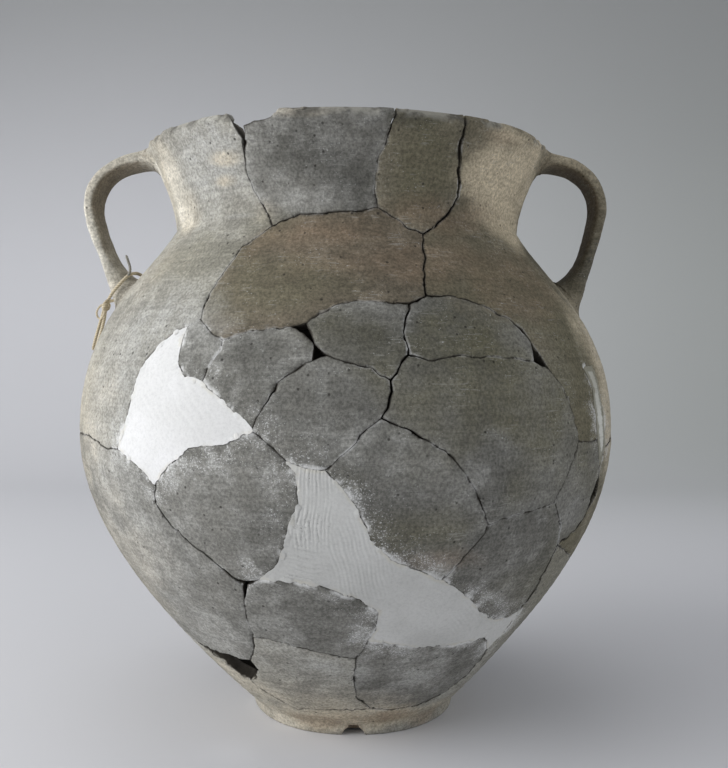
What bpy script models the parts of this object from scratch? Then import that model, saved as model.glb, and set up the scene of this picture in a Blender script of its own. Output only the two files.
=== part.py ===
"""A two-handled pottery jar, mended from fired-clay sherds with plaster fills and a tie string.

The jar is a turned form. Its wall is divided into sherds along a net of cracks. A place on the
wall is (azimuth in degrees, height in percent of the jar): 0 is the front (-Y), +90 the right
handle (+X), -90 the left handle and 180 the back. A third number at a place is the width of the
crack there in millimetres; without one the crack is a hairline.
"""

import math

import bmesh
import bpy
from mathutils import Vector
from mathutils.geometry import interpolate_bezier

# Turned profile: outside radii and the heights where they are found, in metres
HEIGHT = 0.350
RIM_RADIUS = 0.1253
WAIST_HEIGHT = 0.2975
WAIST_RADIUS = 0.1068
SHOULDER_HEIGHT = 0.260
SHOULDER_RADIUS = 0.1360
BELLY_HEIGHT = 0.177
BELLY_RADIUS = 0.1648
FOOT_HEIGHT = 0.009
WALL_START_RADIUS = 0.0658
WALL = 0.0070
LIP = 0.0030

# Slope of the radius against height on each side of those heights
FOOT_SLOPE = 0.98
SHOULDER_SLOPE = -0.80
WAIST_SLOPE_BELOW = -0.62
WAIST_SLOPE_ABOVE = 0.04
RIM_SLOPE = 0.48
INNER_CURVE = 0.012

# Ring foot
FOOT_RADIUS = 0.0628
FOOT_RING = 0.0085
FOOT_RECESS = 0.0050
FLOOR_DISH = 0.0015
FOOT_CHIP_WIDTH = 0.0115
FOOT_CHIP_HEIGHT = 0.0070
FOOT_CHIP_AZIMUTH = 1.0

# The lower body was thrown a little off the axis
LEAN = 0.0052
LEAN_HEIGHT = 0.200

# Handles: rolled straps, measured on their centre lines. A softness of 1 is an ellipse, 0 a box
LEFT_REACH = 0.1620
RIGHT_REACH = 0.1585
HANDLE_TOP = 0.3445
HANDLE_OUTERMOST = 0.314
HANDLE_LOW = 0.2580
HANDLE_WIDTH = 0.0290
HANDLE_THICKNESS = 0.0078
ROOT_WIDTH = 0.0370
ROOT_THICKNESS = 0.0210
ROOT_SHARE = 0.28
STRAP_SOFTNESS = 0.5
ROOT_SOFTNESS = 0.8
TOP_PULL = 0.022
OUTER_PULL = 0.011
LOW_PULL = 0.015

# Gaps, places of the string and fineness of the faces
HAIRLINE = 0.35
STRING_DIAMETER = 0.0020
STRING_POINT_COUNT = 66
COLUMN_COUNT = 40
ROW = 0.019
HANDLE_STATION_COUNT = 13
HANDLE_SIDE_COUNT = 12
LIP_STEP_COUNT = 3
SNAP = 0.16
SHARPEST = 4.5

# The box of the whole jar, handles included, is centred on the origin
LEFT_SIDE = max(BELLY_RADIUS, LEFT_REACH + HANDLE_THICKNESS / 2)
RIGHT_SIDE = max(BELLY_RADIUS, RIGHT_REACH + HANDLE_THICKNESS / 2)
AXIS_X = (LEFT_SIDE - RIGHT_SIDE) / 2
TOP = 100.0 * (1.0 - LIP / HEIGHT)
COLUMN = 360.0 / COLUMN_COUNT
BOTTOM = 100.0 * FOOT_HEIGHT / HEIGHT

# The right fill is a narrow upright strip: azimuth of its right edge, and its width in degrees
RIGHT_FILL_EDGE = 62.4
RIGHT_FILL_WIDTH = 4.6

# Corners where cracks meet
CORNERS = {
    # rim and neck
    "R1": (-27.0, 98.4, 5.4), "R2": (12.3, TOP, 1.6), "R3": (31.0, TOP, 2.2),
    "N1": (-20.6, 83.0), "N2": (9.3, 86.1), "N3": (21.5, 82.3, 1.0),
    # shoulder
    "S1": (17.3, 72.6, 1.0), "S2": (13.0, 71.1, 1.0), "S3": (12.2, 64.0, 1.0),
    "S4": (8.4, 60.5, 1.0), "S5": (6.9, 55.4, 1.0), "S7": (-4.9, 65.6, 0.6),
    "T1": (-29.1, 69.0), "T2": (-22.6, 66.1),
    # small openings where slivers are lost: left, middle and right
    "U1": (-9.3, 67.9), "U2": (-6.4, 68.4), "V1": (-5.1, 63.3), "V2": (-2.6, 64.0),
    "G1": (38.5, 63.2), "G2": (39.3, 66.1), "G3": (42.2, 61.9),
    # belly
    "M1": (27.2, 40.0), "M2": (20.0, 31.4), "P1": (43.6, 41.9), "P3": (49.6, 50.9),
    "Q1": (50.3, 34.1), "L1": (-66.5, 50.6),
    # left fill
    "A1": (-31.7, 67.9), "A2": (-25.3, 59.8), "A3": (-14.9, 53.6), "A4": (-35.7, 45.0),
    "A5": (-45.9, 49.5),
    # front fill
    "C1": (-9.0, 49.4), "C2": (-2.4, 48.4), "C3": (50.2, 22.6), "C4": (48.2, 15.8),
    "C5": (41.0, 19.1), "C6": (6.0, 21.4), "C7": (-16.4, 31.7),
    # right fill
    "W1": (RIGHT_FILL_EDGE - 1.5 * RIGHT_FILL_WIDTH, 62.0), "W2": (RIGHT_FILL_EDGE - 1.4, 62.3),
    "W3": (RIGHT_FILL_EDGE + 1.0, 49.0), "W4": (RIGHT_FILL_EDGE - 1.2, 46.5),
    "W5": (RIGHT_FILL_EDGE - 0.8 * RIGHT_FILL_WIDTH, 50.4),
    # right and left holes
    "H1": (62.0, 44.4), "H2": (60.2, 38.4), "K1": (-57.3, 15.4), "K2": (-29.8, 15.4),
    "K3": (-38.5, 9.9),
    # lower body
    "B1": (-19.8, 30.8, 2.6), "B2": (-23.4, 20.9), "B4": (2.7, 18.0), "B5": (-24.6, 4.9),
    "B6": (8.5, 6.2), "B7": (44.3, 7.2),
    # back
    "E1": (-124.0, TOP), "E2": (128.0, TOP), "E3": (-121.0, 84.8), "E4": (124.0, 84.8),
    "E5": (178.0, 84.6), "E6": (-113.0, 57.0), "E7": (117.0, 59.0), "E8": (180.0, 60.0),
    "E9": (-110.0, 50.5), "F1": (119.0, 52.0), "F2": (-106.0, 21.5), "F3": (112.0, 24.0),
    "F4": (180.0, 18.5),
}

# Cracks, rim stretches and edges of openings that bend on their way between two corners
CRACKS = {
    # rim: the front left stretch is chipped
    "R1 R2": [(-22.4, 98.2), (-18.2, 98.6), (-16.2, TOP), (0.0, TOP)],
    "R2 R3": [],
    "R3 E2": [(36.0, TOP), (90.0, TOP)],
    "R1 E1": [(-30.6, TOP), (-90.0, TOP)],
    "E2 E1": [(180.0, TOP)],
    # neck
    "R1 N1": [(-26.4, 96.3, 2.6), (-27.2, 94.6, 1.2), (-28.1, 91.6), (-26.5, 88.9), (-23.2, 85.5)],
    "N1 N2": [(-17.8, 84.1), (-12.8, 85.1), (-4.1, 85.2), (3.0, 85.3)],
    "R2 N2": [(10.6, 95.3), (9.0, 93.3), (8.3, 90.7), (8.5, 88.4)],
    "R3 N3": [(31.3, 95.5, 2.4), (32.8, 93.0, 1.6), (33.8, 90.3, 2.4), (34.3, 88.2, 1.4),
              (31.8, 85.7, 1.5), (27.2, 83.8, 1.2)],
    "N2 N3": [(15.1, 84.2), (17.7, 83.2)],
    "N1 T1": [(-23.5, 81.9), (-27.2, 80.0), (-28.8, 75.5), (-29.5, 71.5)],
    # shoulder
    "N3 S1": [(20.2, 78.9, 0.9), (18.5, 75.8, 0.9)],
    "S2 S3": [(12.5, 69.7, 1.0), (11.5, 67.3, 0.8), (11.8, 65.9, 0.8)],
    "S3 S4": [(10.6, 62.6, 0.8)],
    "S4 S5": [(8.5, 59.0, 1.8), (7.7, 57.0, 1.4)],
    "S2 U2": [(9.0, 71.2), (2.9, 71.6), (-1.2, 71.0), (-4.2, 70.0)],
    "U1 T2": [(-11.0, 67.7), (-17.3, 67.3)],
    "T1 T2": [(-25.0, 66.8)],
    "T2 A2": [(-22.5, 64.6), (-23.6, 63.2), (-24.8, 61.6)],
    "V2 S4": [(0.7, 63.1), (5.2, 62.4), (6.7, 61.2)],
    "V1 A3": [(-8.8, 61.3), (-10.9, 60.0), (-12.0, 58.4, 1.0), (-13.5, 56.6)],
    "S3 G1": [(15.7, 63.3), (21.9, 63.8), (27.5, 63.5), (33.5, 63.5)],
    "S1 G2": [(23.8, 72.3), (29.6, 71.3), (35.1, 69.4), (38.0, 67.9, 2.0)],
    "G3 P3": [(45.8, 58.9), (47.7, 55.6), (49.3, 52.6)],
    # belly
    "S5 C2": [(5.8, 54.4), (3.6, 53.1), (1.6, 51.4), (-0.6, 49.8)],
    "S5 M1": [(9.7, 54.3), (12.1, 53.4, 1.2), (15.2, 52.1), (19.3, 50.0), (22.4, 46.7), (24.8, 43.7)],
    "M1 M2": [(27.0, 38.6), (24.5, 35.7), (22.0, 33.4)],
    "M1 P1": [(33.5, 40.8), (38.9, 41.3)],
    "P3 P1": [(47.7, 47.9), (45.5, 45.4)],
    "P1 Q1": [(46.0, 39.7), (48.1, 37.9), (49.4, 35.6)],
    "Q1 C3": [(50.3, 32.3), (51.4, 26.6, 1.0), (50.9, 24.4, 1.0)],
    "A3 C1": [(-13.1, 52.4), (-11.2, 51.3)],
    "A5 L1": [(-50.7, 49.3), (-58.7, 50.5)],
    "A4 B1": [(-36.3, 42.0), (-34.8, 40.0), (-30.6, 36.6), (-26.6, 34.3), (-22.6, 31.8, 0.8)],
    # edges of the left fill
    "A1 A5": [(-34.3, 67.0), (-37.0, 65.1), (-39.9, 62.7), (-41.4, 59.8), (-42.8, 53.8)],
    "A5 A4": [(-42.6, 48.6), (-39.3, 47.6)],
    "A4 A3": [(-31.4, 48.4), (-27.0, 50.8), (-19.2, 51.7)],
    "A3 A2": [(-17.0, 55.1), (-21.0, 57.5)],
    "A2 A1": [(-29.5, 60.6), (-31.6, 62.3), (-31.9, 66.0)],
    # edges of the front fill
    "C1 C7": [(-7.3, 47.9), (-7.2, 43.5), (-9.3, 39.6), (-10.2, 36.9), (-12.3, 34.4)],
    "C7 C6": [(-12.5, 31.9), (-4.4, 31.2), (2.4, 29.2), (7.6, 26.6), (7.6, 24.2)],
    "C6 C5": [(11.5, 20.6), (19.5, 19.6), (28.5, 19.3)],
    "C4 C3": [(50.6, 18.6)],
    "C3 M2": [(46.0, 22.1), (39.9, 22.3), (33.0, 24.9), (26.0, 28.6)],
    "M2 C2": [(14.0, 33.4), (9.0, 35.2), (5.0, 38.3), (2.6, 43.0), (-0.4, 46.8)],
    "C2 C1": [(-5.6, 48.4)],
    # edges of the right fill
    "W1 W5": [(RIGHT_FILL_EDGE - RIGHT_FILL_WIDTH, height) for height in (59.2, 55.7)],
    "W2 W3": [(RIGHT_FILL_EDGE, 57.8), (RIGHT_FILL_EDGE + 1.1, 53.0)],
    "P3 W5": [(55.3, 50.6)],
    # edges of the two holes
    "H1 H2 left": [(60.4, 41.6)],
    "H1 H2 right": [(64.2, 41.2)],
    "H2 Q1": [(56.9, 35.9)],
    "K1 K2 top": [(-50.4, 15.6), (-42.0, 15.0)],
    "K1 K3": [(-50.4, 13.8), (-44.2, 11.2)],
    "K3 K2": [(-33.8, 11.2), (-28.9, 13.6)],
    # lower body
    "B1 B2": [(-21.6, 28.0), (-22.9, 24.6)],
    "B2 B4": [(-18.0, 20.7), (-10.5, 19.8), (-2.9, 18.4)],
    "B2 K2": [(-26.7, 17.6)],
    "K3 B5": [(-36.3, 7.8), (-27.6, 5.9)],
    "B5 B6": [(-18.2, 5.5), (-4.2, 5.8)],
    "B6 B7": [(18.5, 5.5), (34.5, 5.9)],
    "B6 B4": [(2.9, 9.0), (2.0, 13.2)],
    "B7 C4": [(50.3, 10.1), (50.0, 13.3)],
    # back
    "E1 E3": [(-126.5, 92.0)],
    "E2 E4": [(125.0, 92.0)],
    "E3 E5": [(-140.0, 85.3), (-162.0, 84.4)],
    "E5 E4": [(160.0, 85.4), (141.0, 84.5)],
    "E3 E6": [(-116.0, 76.0), (-119.0, 66.0)],
    "E4 E7": [(119.0, 77.0), (123.0, 67.0)],
    "E5 E8": [(183.0, 76.0), (175.0, 68.0)],
    "E6 E8": [(-135.0, 60.5), (-158.0, 58.0)],
    "E8 E7": [(160.0, 57.8), (138.0, 61.0)],
    "E9 L1": [(-92.0, 51.8), (-78.0, 50.0)],
    "W3 F1": [(76.0, 50.0), (95.0, 51.4)],
    "E9 F2": [(-106.5, 42.0), (-112.0, 32.0)],
    "F1 F3": [(113.0, 44.0), (118.0, 33.0)],
    "E8 F4": [(184.0, 50.0), (176.0, 40.0), (183.0, 29.0)],
    "K1 F2": [(-70.0, 16.8), (-88.0, 18.6)],
    "F2 F4": [(-128.0, 20.2), (-152.0, 19.2)],
    "Q1 F3": [(62.0, 31.0), (82.0, 27.4), (98.0, 26.0)],
    "F3 F4": [(134.0, 20.6), (158.0, 19.4)],
}

# Each sherd and fill, as the corners on its way round
PIECES = {
    "neck_front_left": "R1 R2 N2 N1",
    "neck_front_right": "R2 R3 N3 N2",
    "neck_back": "E2 E1 E3 E5 E4",
    "side_left": "E1 R1 N1 T1 A1 A5 L1 E9 E6 E3",
    "side_right": "R3 E2 E4 E7 F1 W3 W2 W1 W5 P3 G3 G2 S1 N3",
    "shoulder_front": "N1 N2 N3 S1 S2 U2 U1 T2 T1",
    "shoulder_back_left": "E3 E5 E8 E6",
    "shoulder_back_right": "E5 E4 E7 E8",
    "shoulder_small_left": "T1 T2 A2 A1",
    "shoulder_mid_left": "T2 U1 S7 V1 A3 A2",
    "shoulder_disc": "U2 S2 S3 S4 V2 S7",
    "shoulder_right": "S1 G2 G1 S3 S2",
    "belly_centre": "V1 V2 S4 S5 C2 C1 A3",
    "belly_right": "S3 G1 G3 P3 P1 M1 S5 S4",
    "belly_under_right": "S5 M1 M2 C2",
    "belly_right_low": "M1 P1 Q1 C3 M2",
    "belly_right_strip": "P3 W5 W4 H1 H2:left Q1 P1",
    "belly_right_side": "W4 W3 F1 F3 Q1 H2 H1:right",
    "belly_left_side": "A5 L1 E9 F2 K1 K2:top B2 B1 A4",
    "belly_left_low": "A4 A3 C1 C7 B1",
    "belly_back_left": "E6 E8 F4 F2 E9",
    "belly_back_right": "E8 E7 F1 F3 F4",
    "lower_front_left": "B1 C7 C6 B4 B2",
    "bottom_front_left": "B2 B4 B6 B5 K3 K2",
    "bottom_front_right": "B4 C6 C5 C4 B7 B6",
    "fill_left": "A1 A2 A3 A4 A5",
    "fill_front": "C1 C2 M2 C3 C4 C5 C6 C7",
    "fill_right": "W1 W2 W3 W4 W5",
}
BASE_EDGE = "F4 F2 K1 K3 B5 B6 B7 C4 C3 Q1 F3 F4"

# Colour and roughness of each finish, and the pieces that have one other than the grey clay
FINISHES = {
    "grey_clay": ((0.235, 0.222, 0.196), 0.88),
    "buff_clay": ((0.545, 0.500, 0.420), 0.90),
    "red_clay": ((0.330, 0.262, 0.218), 0.88),
    "olive_clay": ((0.270, 0.245, 0.200), 0.88),
    "plaster": ((0.640, 0.640, 0.625), 0.92),
    "cotton": ((0.560, 0.500, 0.375), 0.95),
}
PIECE_FINISH = {
    "side_left": "buff_clay", "base": "buff_clay", "neck_back": "buff_clay",
    "shoulder_front": "red_clay", "side_right": "olive_clay", "neck_front_right": "olive_clay",
    "fill_left": "plaster", "fill_front": "plaster", "fill_right": "plaster",
    "tie_string": "cotton", "tie_knot": "cotton", "tie_stub": "cotton",
}

# The tie string's route: tail, outside of the handle's root, back, gap, front and second tail
STRING_ROUTE = [
    (-0.1610, -0.0060, 0.2244), (-0.1590, -0.0072, 0.2315), (-0.1566, -0.0084, 0.2385),
    (-0.1545, -0.0090, 0.2450), (-0.1530, -0.0080, 0.2505), (-0.1524, -0.0030, 0.2545),
    (-0.1520, 0.0040, 0.2560), (-0.1508, 0.0115, 0.2570), (-0.1470, 0.0175, 0.2592),
    (-0.1410, 0.0198, 0.2640), (-0.1358, 0.0170, 0.2695), (-0.1332, 0.0100, 0.2722),
    (-0.1326, 0.0010, 0.2728), (-0.1330, -0.0090, 0.2728), (-0.1352, -0.0168, 0.2712),
    (-0.1395, -0.0200, 0.2662), (-0.1445, -0.0200, 0.2603), (-0.1478, -0.0190, 0.2550),
    (-0.1500, -0.0165, 0.2500), (-0.1516, -0.0138, 0.2440), (-0.1538, -0.0120, 0.2370),
    (-0.1561, -0.0108, 0.2303), (-0.1586, -0.0098, 0.2235),
]


def remove_everything():
    """Start from an empty scene."""
    for thing in list(bpy.data.objects):
        bpy.data.objects.remove(thing, do_unlink=True)


def hermite(start, end, height):
    """Radius at a height on a smooth curve between two (height, radius, slope) knots."""
    span = end[0] - start[0]
    t = (height - start[0]) / span
    return ((1 + 2 * t) * (1 - t) ** 2 * start[1] + t * (1 - t) ** 2 * span * start[2]
            + t * t * (3 - 2 * t) * end[1] + t * t * (t - 1) * span * end[2])


def profile_spans():
    """The stretches of the outside profile, each between two (height, radius, slope) knots."""
    belly = (BELLY_HEIGHT, BELLY_RADIUS, 0.0)
    shoulder = (SHOULDER_HEIGHT, SHOULDER_RADIUS, SHOULDER_SLOPE)
    return [
        ((FOOT_HEIGHT, WALL_START_RADIUS, FOOT_SLOPE), belly),
        (belly, shoulder),
        (shoulder, (WAIST_HEIGHT, WAIST_RADIUS, WAIST_SLOPE_BELOW)),
        ((WAIST_HEIGHT, WAIST_RADIUS, WAIST_SLOPE_ABOVE), (HEIGHT, RIM_RADIUS, RIM_SLOPE)),
    ]


def outer_radius(height):
    """Outside radius of the wall at a height above the ground."""
    spans = profile_spans()
    for start, end in spans:
        if height <= end[0] or end[0] == HEIGHT:
            return hermite(start, end, height)


def slope_at(height):
    """Slope of the outside radius, eased across the sharp turn at the waist."""
    reach = INNER_CURVE / 3
    low = max(height - reach, FOOT_HEIGHT)
    high = min(height + reach, HEIGHT)
    return (outer_radius(high) - outer_radius(low)) / (high - low)


def smooth(value):
    """Ease a value from 0 to 1."""
    t = min(max(value, 0.0), 1.0)
    return t * t * (3 - 2 * t)


def inner_point(height):
    """(radius, height) of the inside of the wall: square to it below the waist, level above."""
    radius, slope = outer_radius(height), slope_at(height)
    stretch = math.sqrt(1 + slope * slope)
    level = smooth((height - WAIST_HEIGHT) / (2 * INNER_CURVE) + 0.5)
    square = (radius - WALL / stretch, height + WALL * slope / stretch)
    across = (radius - WALL * stretch, height)
    return tuple(a + (b - a) * level for a, b in zip(square, across))


def place(azimuth, radius, height):
    """A point round the jar's axis, which leans a little to the right low down."""
    angle = math.radians(azimuth)
    low = max(0.0, 1 - height / LEAN_HEIGHT)
    return Vector((AXIS_X + LEAN * low * low + radius * math.sin(angle), -radius * math.cos(angle), height))


def outer_place(azimuth, percent):
    """The point on the outside of the wall at an azimuth and a height in percent."""
    height = HEIGHT * percent / 100
    return place(azimuth, outer_radius(height), height)


def inner_place(azimuth, percent):
    """The point on the inside of the wall that faces outer_place."""
    return place(azimuth, *inner_point(HEIGHT * percent / 100))


def rows():
    """Heights in percent of the level lines that the faces follow: the knots, and evenly between."""
    heights = []
    for start, end in profile_spans():
        steps = max(1, round((end[0] - start[0]) / ROW))
        heights += [start[0] + (end[0] - start[0]) * i / steps for i in range(steps)]
    return [100 * height / HEIGHT for height in heights]


def crack(start, end, side=""):
    """The places between two corners, from the crack's own list read in either direction."""
    tail = " " + side if side else ""
    forward, backward = f"{start} {end}{tail}", f"{end} {start}{tail}"
    if forward in CRACKS:
        return CRACKS[forward]
    return list(reversed(CRACKS.get(backward, [])))


def outline(names):
    """The places on the way round a piece, with azimuths that run on past 180 degrees."""
    corners = [name.split(":") for name in names]
    points = []
    for index, corner in enumerate(corners):
        after = corners[(index + 1) % len(corners)]
        sides = {part for pair in (corner[1:], after[1:]) for part in pair}
        points.append(CORNERS[corner[0]])
        stretch = []
        for side in [""] + sorted(sides):
            stretch = stretch or crack(corner[0], after[0], side)
        points += stretch
    return unwrap(points)


def unwrap(points):
    """Turn each azimuth by whole turns until it lies next to the one before it."""
    steady = []
    for azimuth, percent, *width in points:
        if steady:
            azimuth += 360 * round((steady[-1][0] - azimuth) / 360)
        steady.append((azimuth, percent, width[0] if width else HAIRLINE))
    return steady


def metres(percent):
    """Metres along the wall for one degree and for one percent, at a height in percent."""
    height = HEIGHT * percent / 100
    around = outer_radius(height) * math.pi / 180
    return around, HEIGHT / 100 * math.sqrt(1 + slope_at(height) ** 2)


def corner_step(way_in, way_out, near, far):
    """How far a corner moves when the line before it moves in by near and the one after by far."""
    first, second = Vector((-way_in.y, way_in.x)), Vector((-way_out.y, way_out.x))
    turn = first.x * second.y - first.y * second.x
    if abs(turn) < 0.05:
        return (first * near + second * far) / 2
    step = Vector((near * second.y - far * first.y, far * first.x - near * second.x)) / turn
    limit = SHARPEST * max(near, far)
    return step * min(1.0, limit / step.length) if step.length else step


def shrink(points, turn=0.0):
    """Draw an outline in by half its crack widths. A turn of -360 closes it round the jar."""
    if not turn and sum(a[0] * b[1] - b[0] * a[1] for a, b in zip(points, points[1:] + points[:1])) < 0:
        points = points[::-1]
    count = len(points)
    drawn = []
    for index, (azimuth, percent, width) in enumerate(points):
        before, after = points[index - 1], points[(index + 1) % count]
        around, along = metres(percent)
        back = turn if index == 0 else 0.0
        ahead = turn if index == count - 1 else 0.0
        way_in = Vector(((azimuth - before[0] + back) * around, (percent - before[1]) * along)).normalized()
        way_out = Vector(((after[0] + ahead - azimuth) * around, (after[1] - percent) * along)).normalized()
        near = 0.0 if min(percent, before[1]) >= TOP else width / 2000
        far = 0.0 if min(percent, after[1]) >= TOP else width / 2000
        step = corner_step(way_in, way_out, near, far)
        drawn.append((azimuth + step.x / around, percent + step.y / along))
    return drawn


def flat_faces(points):
    """A flat mesh of an outline in (azimuth, percent), divided along columns and rows."""
    net = bmesh.new()
    net.faces.new([net.verts.new((x, y, 0.0)) for x, y in points])
    first = math.floor(min(x for x, y in points) / COLUMN)
    last = math.ceil(max(x for x, y in points) / COLUMN)
    cuts = [((COLUMN * i, 0, 0), (1, 0, 0)) for i in range(first, last + 1)]
    cuts += [((0, percent, 0), (0, 1, 0)) for percent in rows()]
    for point, normal in cuts:
        every = net.verts[:] + net.edges[:] + net.faces[:]
        bmesh.ops.bisect_plane(net, geom=every, dist=SNAP, plane_co=point, plane_no=normal)
    bmesh.ops.triangulate(net, faces=net.faces[:])
    bmesh.ops.recalc_face_normals(net, faces=net.faces[:])
    if net.faces and net.faces[:][0].normal.z < 0:
        bmesh.ops.reverse_faces(net, faces=net.faces[:])
    return net


def lip_points(outside, inside):
    """Points over the rounded lip from its outer edge to its inner edge."""
    middle, half = (outside + inside) / 2, (outside - inside) / 2
    turns = [math.pi * i / LIP_STEP_COUNT for i in range(1, LIP_STEP_COUNT)]
    crown = LIP / max(math.sin(turn) for turn in turns)
    return [middle + half * math.cos(turn) + Vector((0, 0, crown * math.sin(turn))) for turn in turns]


def is_open(edge, turned):
    """Whether a flat edge is on the outline and gets a side face."""
    if not edge.is_boundary:
        return False
    low = all(vert.co.y < BOTTOM + 1e-4 for vert in edge.verts)
    seam = all(abs(abs(vert.co.x) - 180) < 1e-3 for vert in edge.verts)
    return not (turned and (low or seam))


def thicken(net, turned=False):
    """The closed shell over a flat mesh: outside, inside and the faces between them."""
    body = bmesh.new()
    outside, inside, lip = {}, {}, {}
    for vert in net.verts:
        azimuth, percent = vert.co.x, vert.co.y
        outside[vert] = body.verts.new(outer_place(azimuth, percent))
        inside[vert] = body.verts.new(inner_place(azimuth, percent))
        on_rim = percent > TOP - 1e-3
        arch = lip_points(outside[vert].co, inside[vert].co) if on_rim else []
        lip[vert] = [body.verts.new(point) for point in arch]
    for face in net.faces:
        body.faces.new([outside[vert] for vert in face.verts])
        body.faces.new([inside[vert] for vert in reversed(face.verts)])
    for edge in net.edges:
        if is_open(edge, turned):
            low, high = sorted(edge.verts, key=lambda vert: vert.co.y)
            arch = [outside[high]] + lip[high] + [inside[high]]
            if lip[low]:
                other = [outside[low]] + lip[low] + [inside[low]]
                for a, b, c, d in zip(arch, arch[1:], other, other[1:]):
                    body.faces.new([a, b, d, c])
            else:
                for a, b in zip(arch, arch[1:]):
                    body.faces.new([outside[low], a, b])
                body.faces.new([outside[low], inside[high], inside[low]])
    net.free()
    return body


def clay(name):
    """The material of a piece."""
    finish = PIECE_FINISH.get(name, "grey_clay")
    material = bpy.data.materials.get(finish)
    if not material:
        colour, roughness = FINISHES[finish]
        material = bpy.data.materials.new(finish)
        material.use_nodes = True
        shader = material.node_tree.nodes["Principled BSDF"]
        shader.inputs["Base Color"].default_value = (*colour, 1.0)
        shader.inputs["Roughness"].default_value = roughness
        shader.inputs["Metallic"].default_value = 0.0
    own = material.copy()
    own.name = name + "_" + finish
    return own


def finish_body(name, body):
    """Close a body's faces, turn them outwards and make it an object."""
    bmesh.ops.remove_doubles(body, verts=body.verts[:], dist=1e-6)
    bmesh.ops.triangulate(body, faces=[face for face in body.faces if len(face.verts) > 4])
    bmesh.ops.recalc_face_normals(body, faces=body.faces[:])
    mesh = bpy.data.meshes.new(name)
    body.to_mesh(mesh)
    body.free()
    mesh.materials.append(clay(name))
    mesh.shade_smooth()
    mesh.set_sharp_from_angle(angle=math.radians(35))
    thing = bpy.data.objects.new(name, mesh)
    bpy.context.scene.collection.objects.link(thing)
    return thing


def sherd(name):
    """A piece of the wall between its cracks."""
    return finish_body(name, thicken(flat_faces(shrink(outline(PIECES[name].split())))))


def ring(body, radius, height, azimuths):
    """A level ring of vertices."""
    return [body.verts.new(place(azimuth, radius, height)) for azimuth in azimuths]


def bridge(body, rings):
    """Faces between each ring and the next, all the way round."""
    for upper, lower in zip(rings, rings[1:]):
        for index in range(len(upper)):
            after = (index + 1) % len(upper)
            body.faces.new([upper[index], upper[after], lower[after], lower[index]])


def foot_rings():
    """(radius, height) from the start of the wall down round the ring foot, and of the floor."""
    edge = FOOT_RING / 8
    inner_radius, inner_height = inner_point(FOOT_HEIGHT)
    roof = FOOT_RECESS + FLOOR_DISH
    under = [
        (WALL_START_RADIUS, FOOT_HEIGHT),
        ((FOOT_RADIUS + WALL_START_RADIUS) / 2, FOOT_HEIGHT * 0.82),
        (FOOT_RADIUS, edge),
        (FOOT_RADIUS - edge, 0.0),
        (FOOT_RADIUS - FOOT_RING + edge, 0.0),
        (FOOT_RADIUS - FOOT_RING, edge),
        (FOOT_RADIUS - FOOT_RING - FOOT_RECESS / 2, FOOT_RECESS),
        (FOOT_RADIUS / 3, roof),
    ]
    floor = [
        (inner_radius, inner_height),
        (inner_radius - 2 * WALL, roof + WALL + FLOOR_DISH / 2),
        (FOOT_RADIUS / 3, roof + WALL),
    ]
    return under, floor


def base():
    """The bottom of the jar: ring foot, floor and the lower wall up to its broken edge."""
    names = BASE_EDGE.split()
    top = outline(names[::-1])[:-1]
    edge = shrink(top, turn=-360.0)
    edge = [(180.0, edge[0][1])] + edge[1:] + [(-180.0, edge[0][1])]
    outline_points = [(-180.0, BOTTOM), (180.0, BOTTOM)] + edge
    body = thicken(flat_faces(outline_points), turned=True)
    azimuths = [COLUMN * i - 180 for i in range(COLUMN_COUNT)]
    for profile in foot_rings():
        rings = [ring(body, radius, height, azimuths) for radius, height in profile]
        bridge(body, rings)
        body.faces.new(rings[-1])
    thing = finish_body("base", body)
    cut(thing, foot_chip())
    return thing


def foot_chip():
    """A rough wedge where a flake is missing from the front of the ring foot."""
    body = bmesh.new()
    bmesh.ops.create_cone(body, cap_ends=True, segments=7, radius1=FOOT_CHIP_WIDTH / 2,
                          radius2=FOOT_CHIP_WIDTH / 3.4, depth=FOOT_CHIP_HEIGHT * 2)
    centre = place(FOOT_CHIP_AZIMUTH, FOOT_RADIUS + FOOT_RING / 6, 0.0)
    bmesh.ops.translate(body, verts=body.verts[:], vec=centre)
    mesh = bpy.data.meshes.new("foot_chip")
    body.to_mesh(mesh)
    body.free()
    thing = bpy.data.objects.new("foot_chip", mesh)
    bpy.context.scene.collection.objects.link(thing)
    return thing


def hide_operand(operand):
    """Show a cutter or a joined shape as a wire only, and leave it out of the model."""
    operand.hide_render = True
    operand.display_type = "WIRE"


def cut(thing, cutter):
    """Take a cutter's shape out of a piece."""
    boolean = thing.modifiers.new(cutter.name, "BOOLEAN")
    boolean.operation = "DIFFERENCE"
    boolean.solver = "EXACT"
    boolean.object = cutter
    hide_operand(cutter)


def join(thing, other):
    """Fuse another shape into a piece."""
    boolean = thing.modifiers.new(other.name, "BOOLEAN")
    boolean.operation = "UNION"
    boolean.solver = "EXACT"
    boolean.object = other
    hide_operand(other)


def handle_path(reach):
    """(radius, height) along a handle's centre line, from inside the rim to inside the shoulder."""
    top = Vector((outer_radius(HANDLE_TOP) - WALL / 2, HANDLE_TOP, 0.0))
    outermost = Vector((reach, HANDLE_OUTERMOST, 0.0))
    square = Vector((1.0, -slope_at(HANDLE_LOW), 0.0)).normalized()
    low = Vector((outer_radius(HANDLE_LOW), HANDLE_LOW, 0.0)) - square * WALL / 2
    down = Vector((0.0, OUTER_PULL, 0.0))
    first = [top, top + Vector((TOP_PULL, LIP / 2, 0.0)), outermost + 2 * down, outermost]
    second = [outermost, outermost - down, low + square * LOW_PULL, low]
    steps = HANDLE_STATION_COUNT // 2 + 1
    return interpolate_bezier(*first, steps) + interpolate_bezier(*second, steps)[1:]


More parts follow.
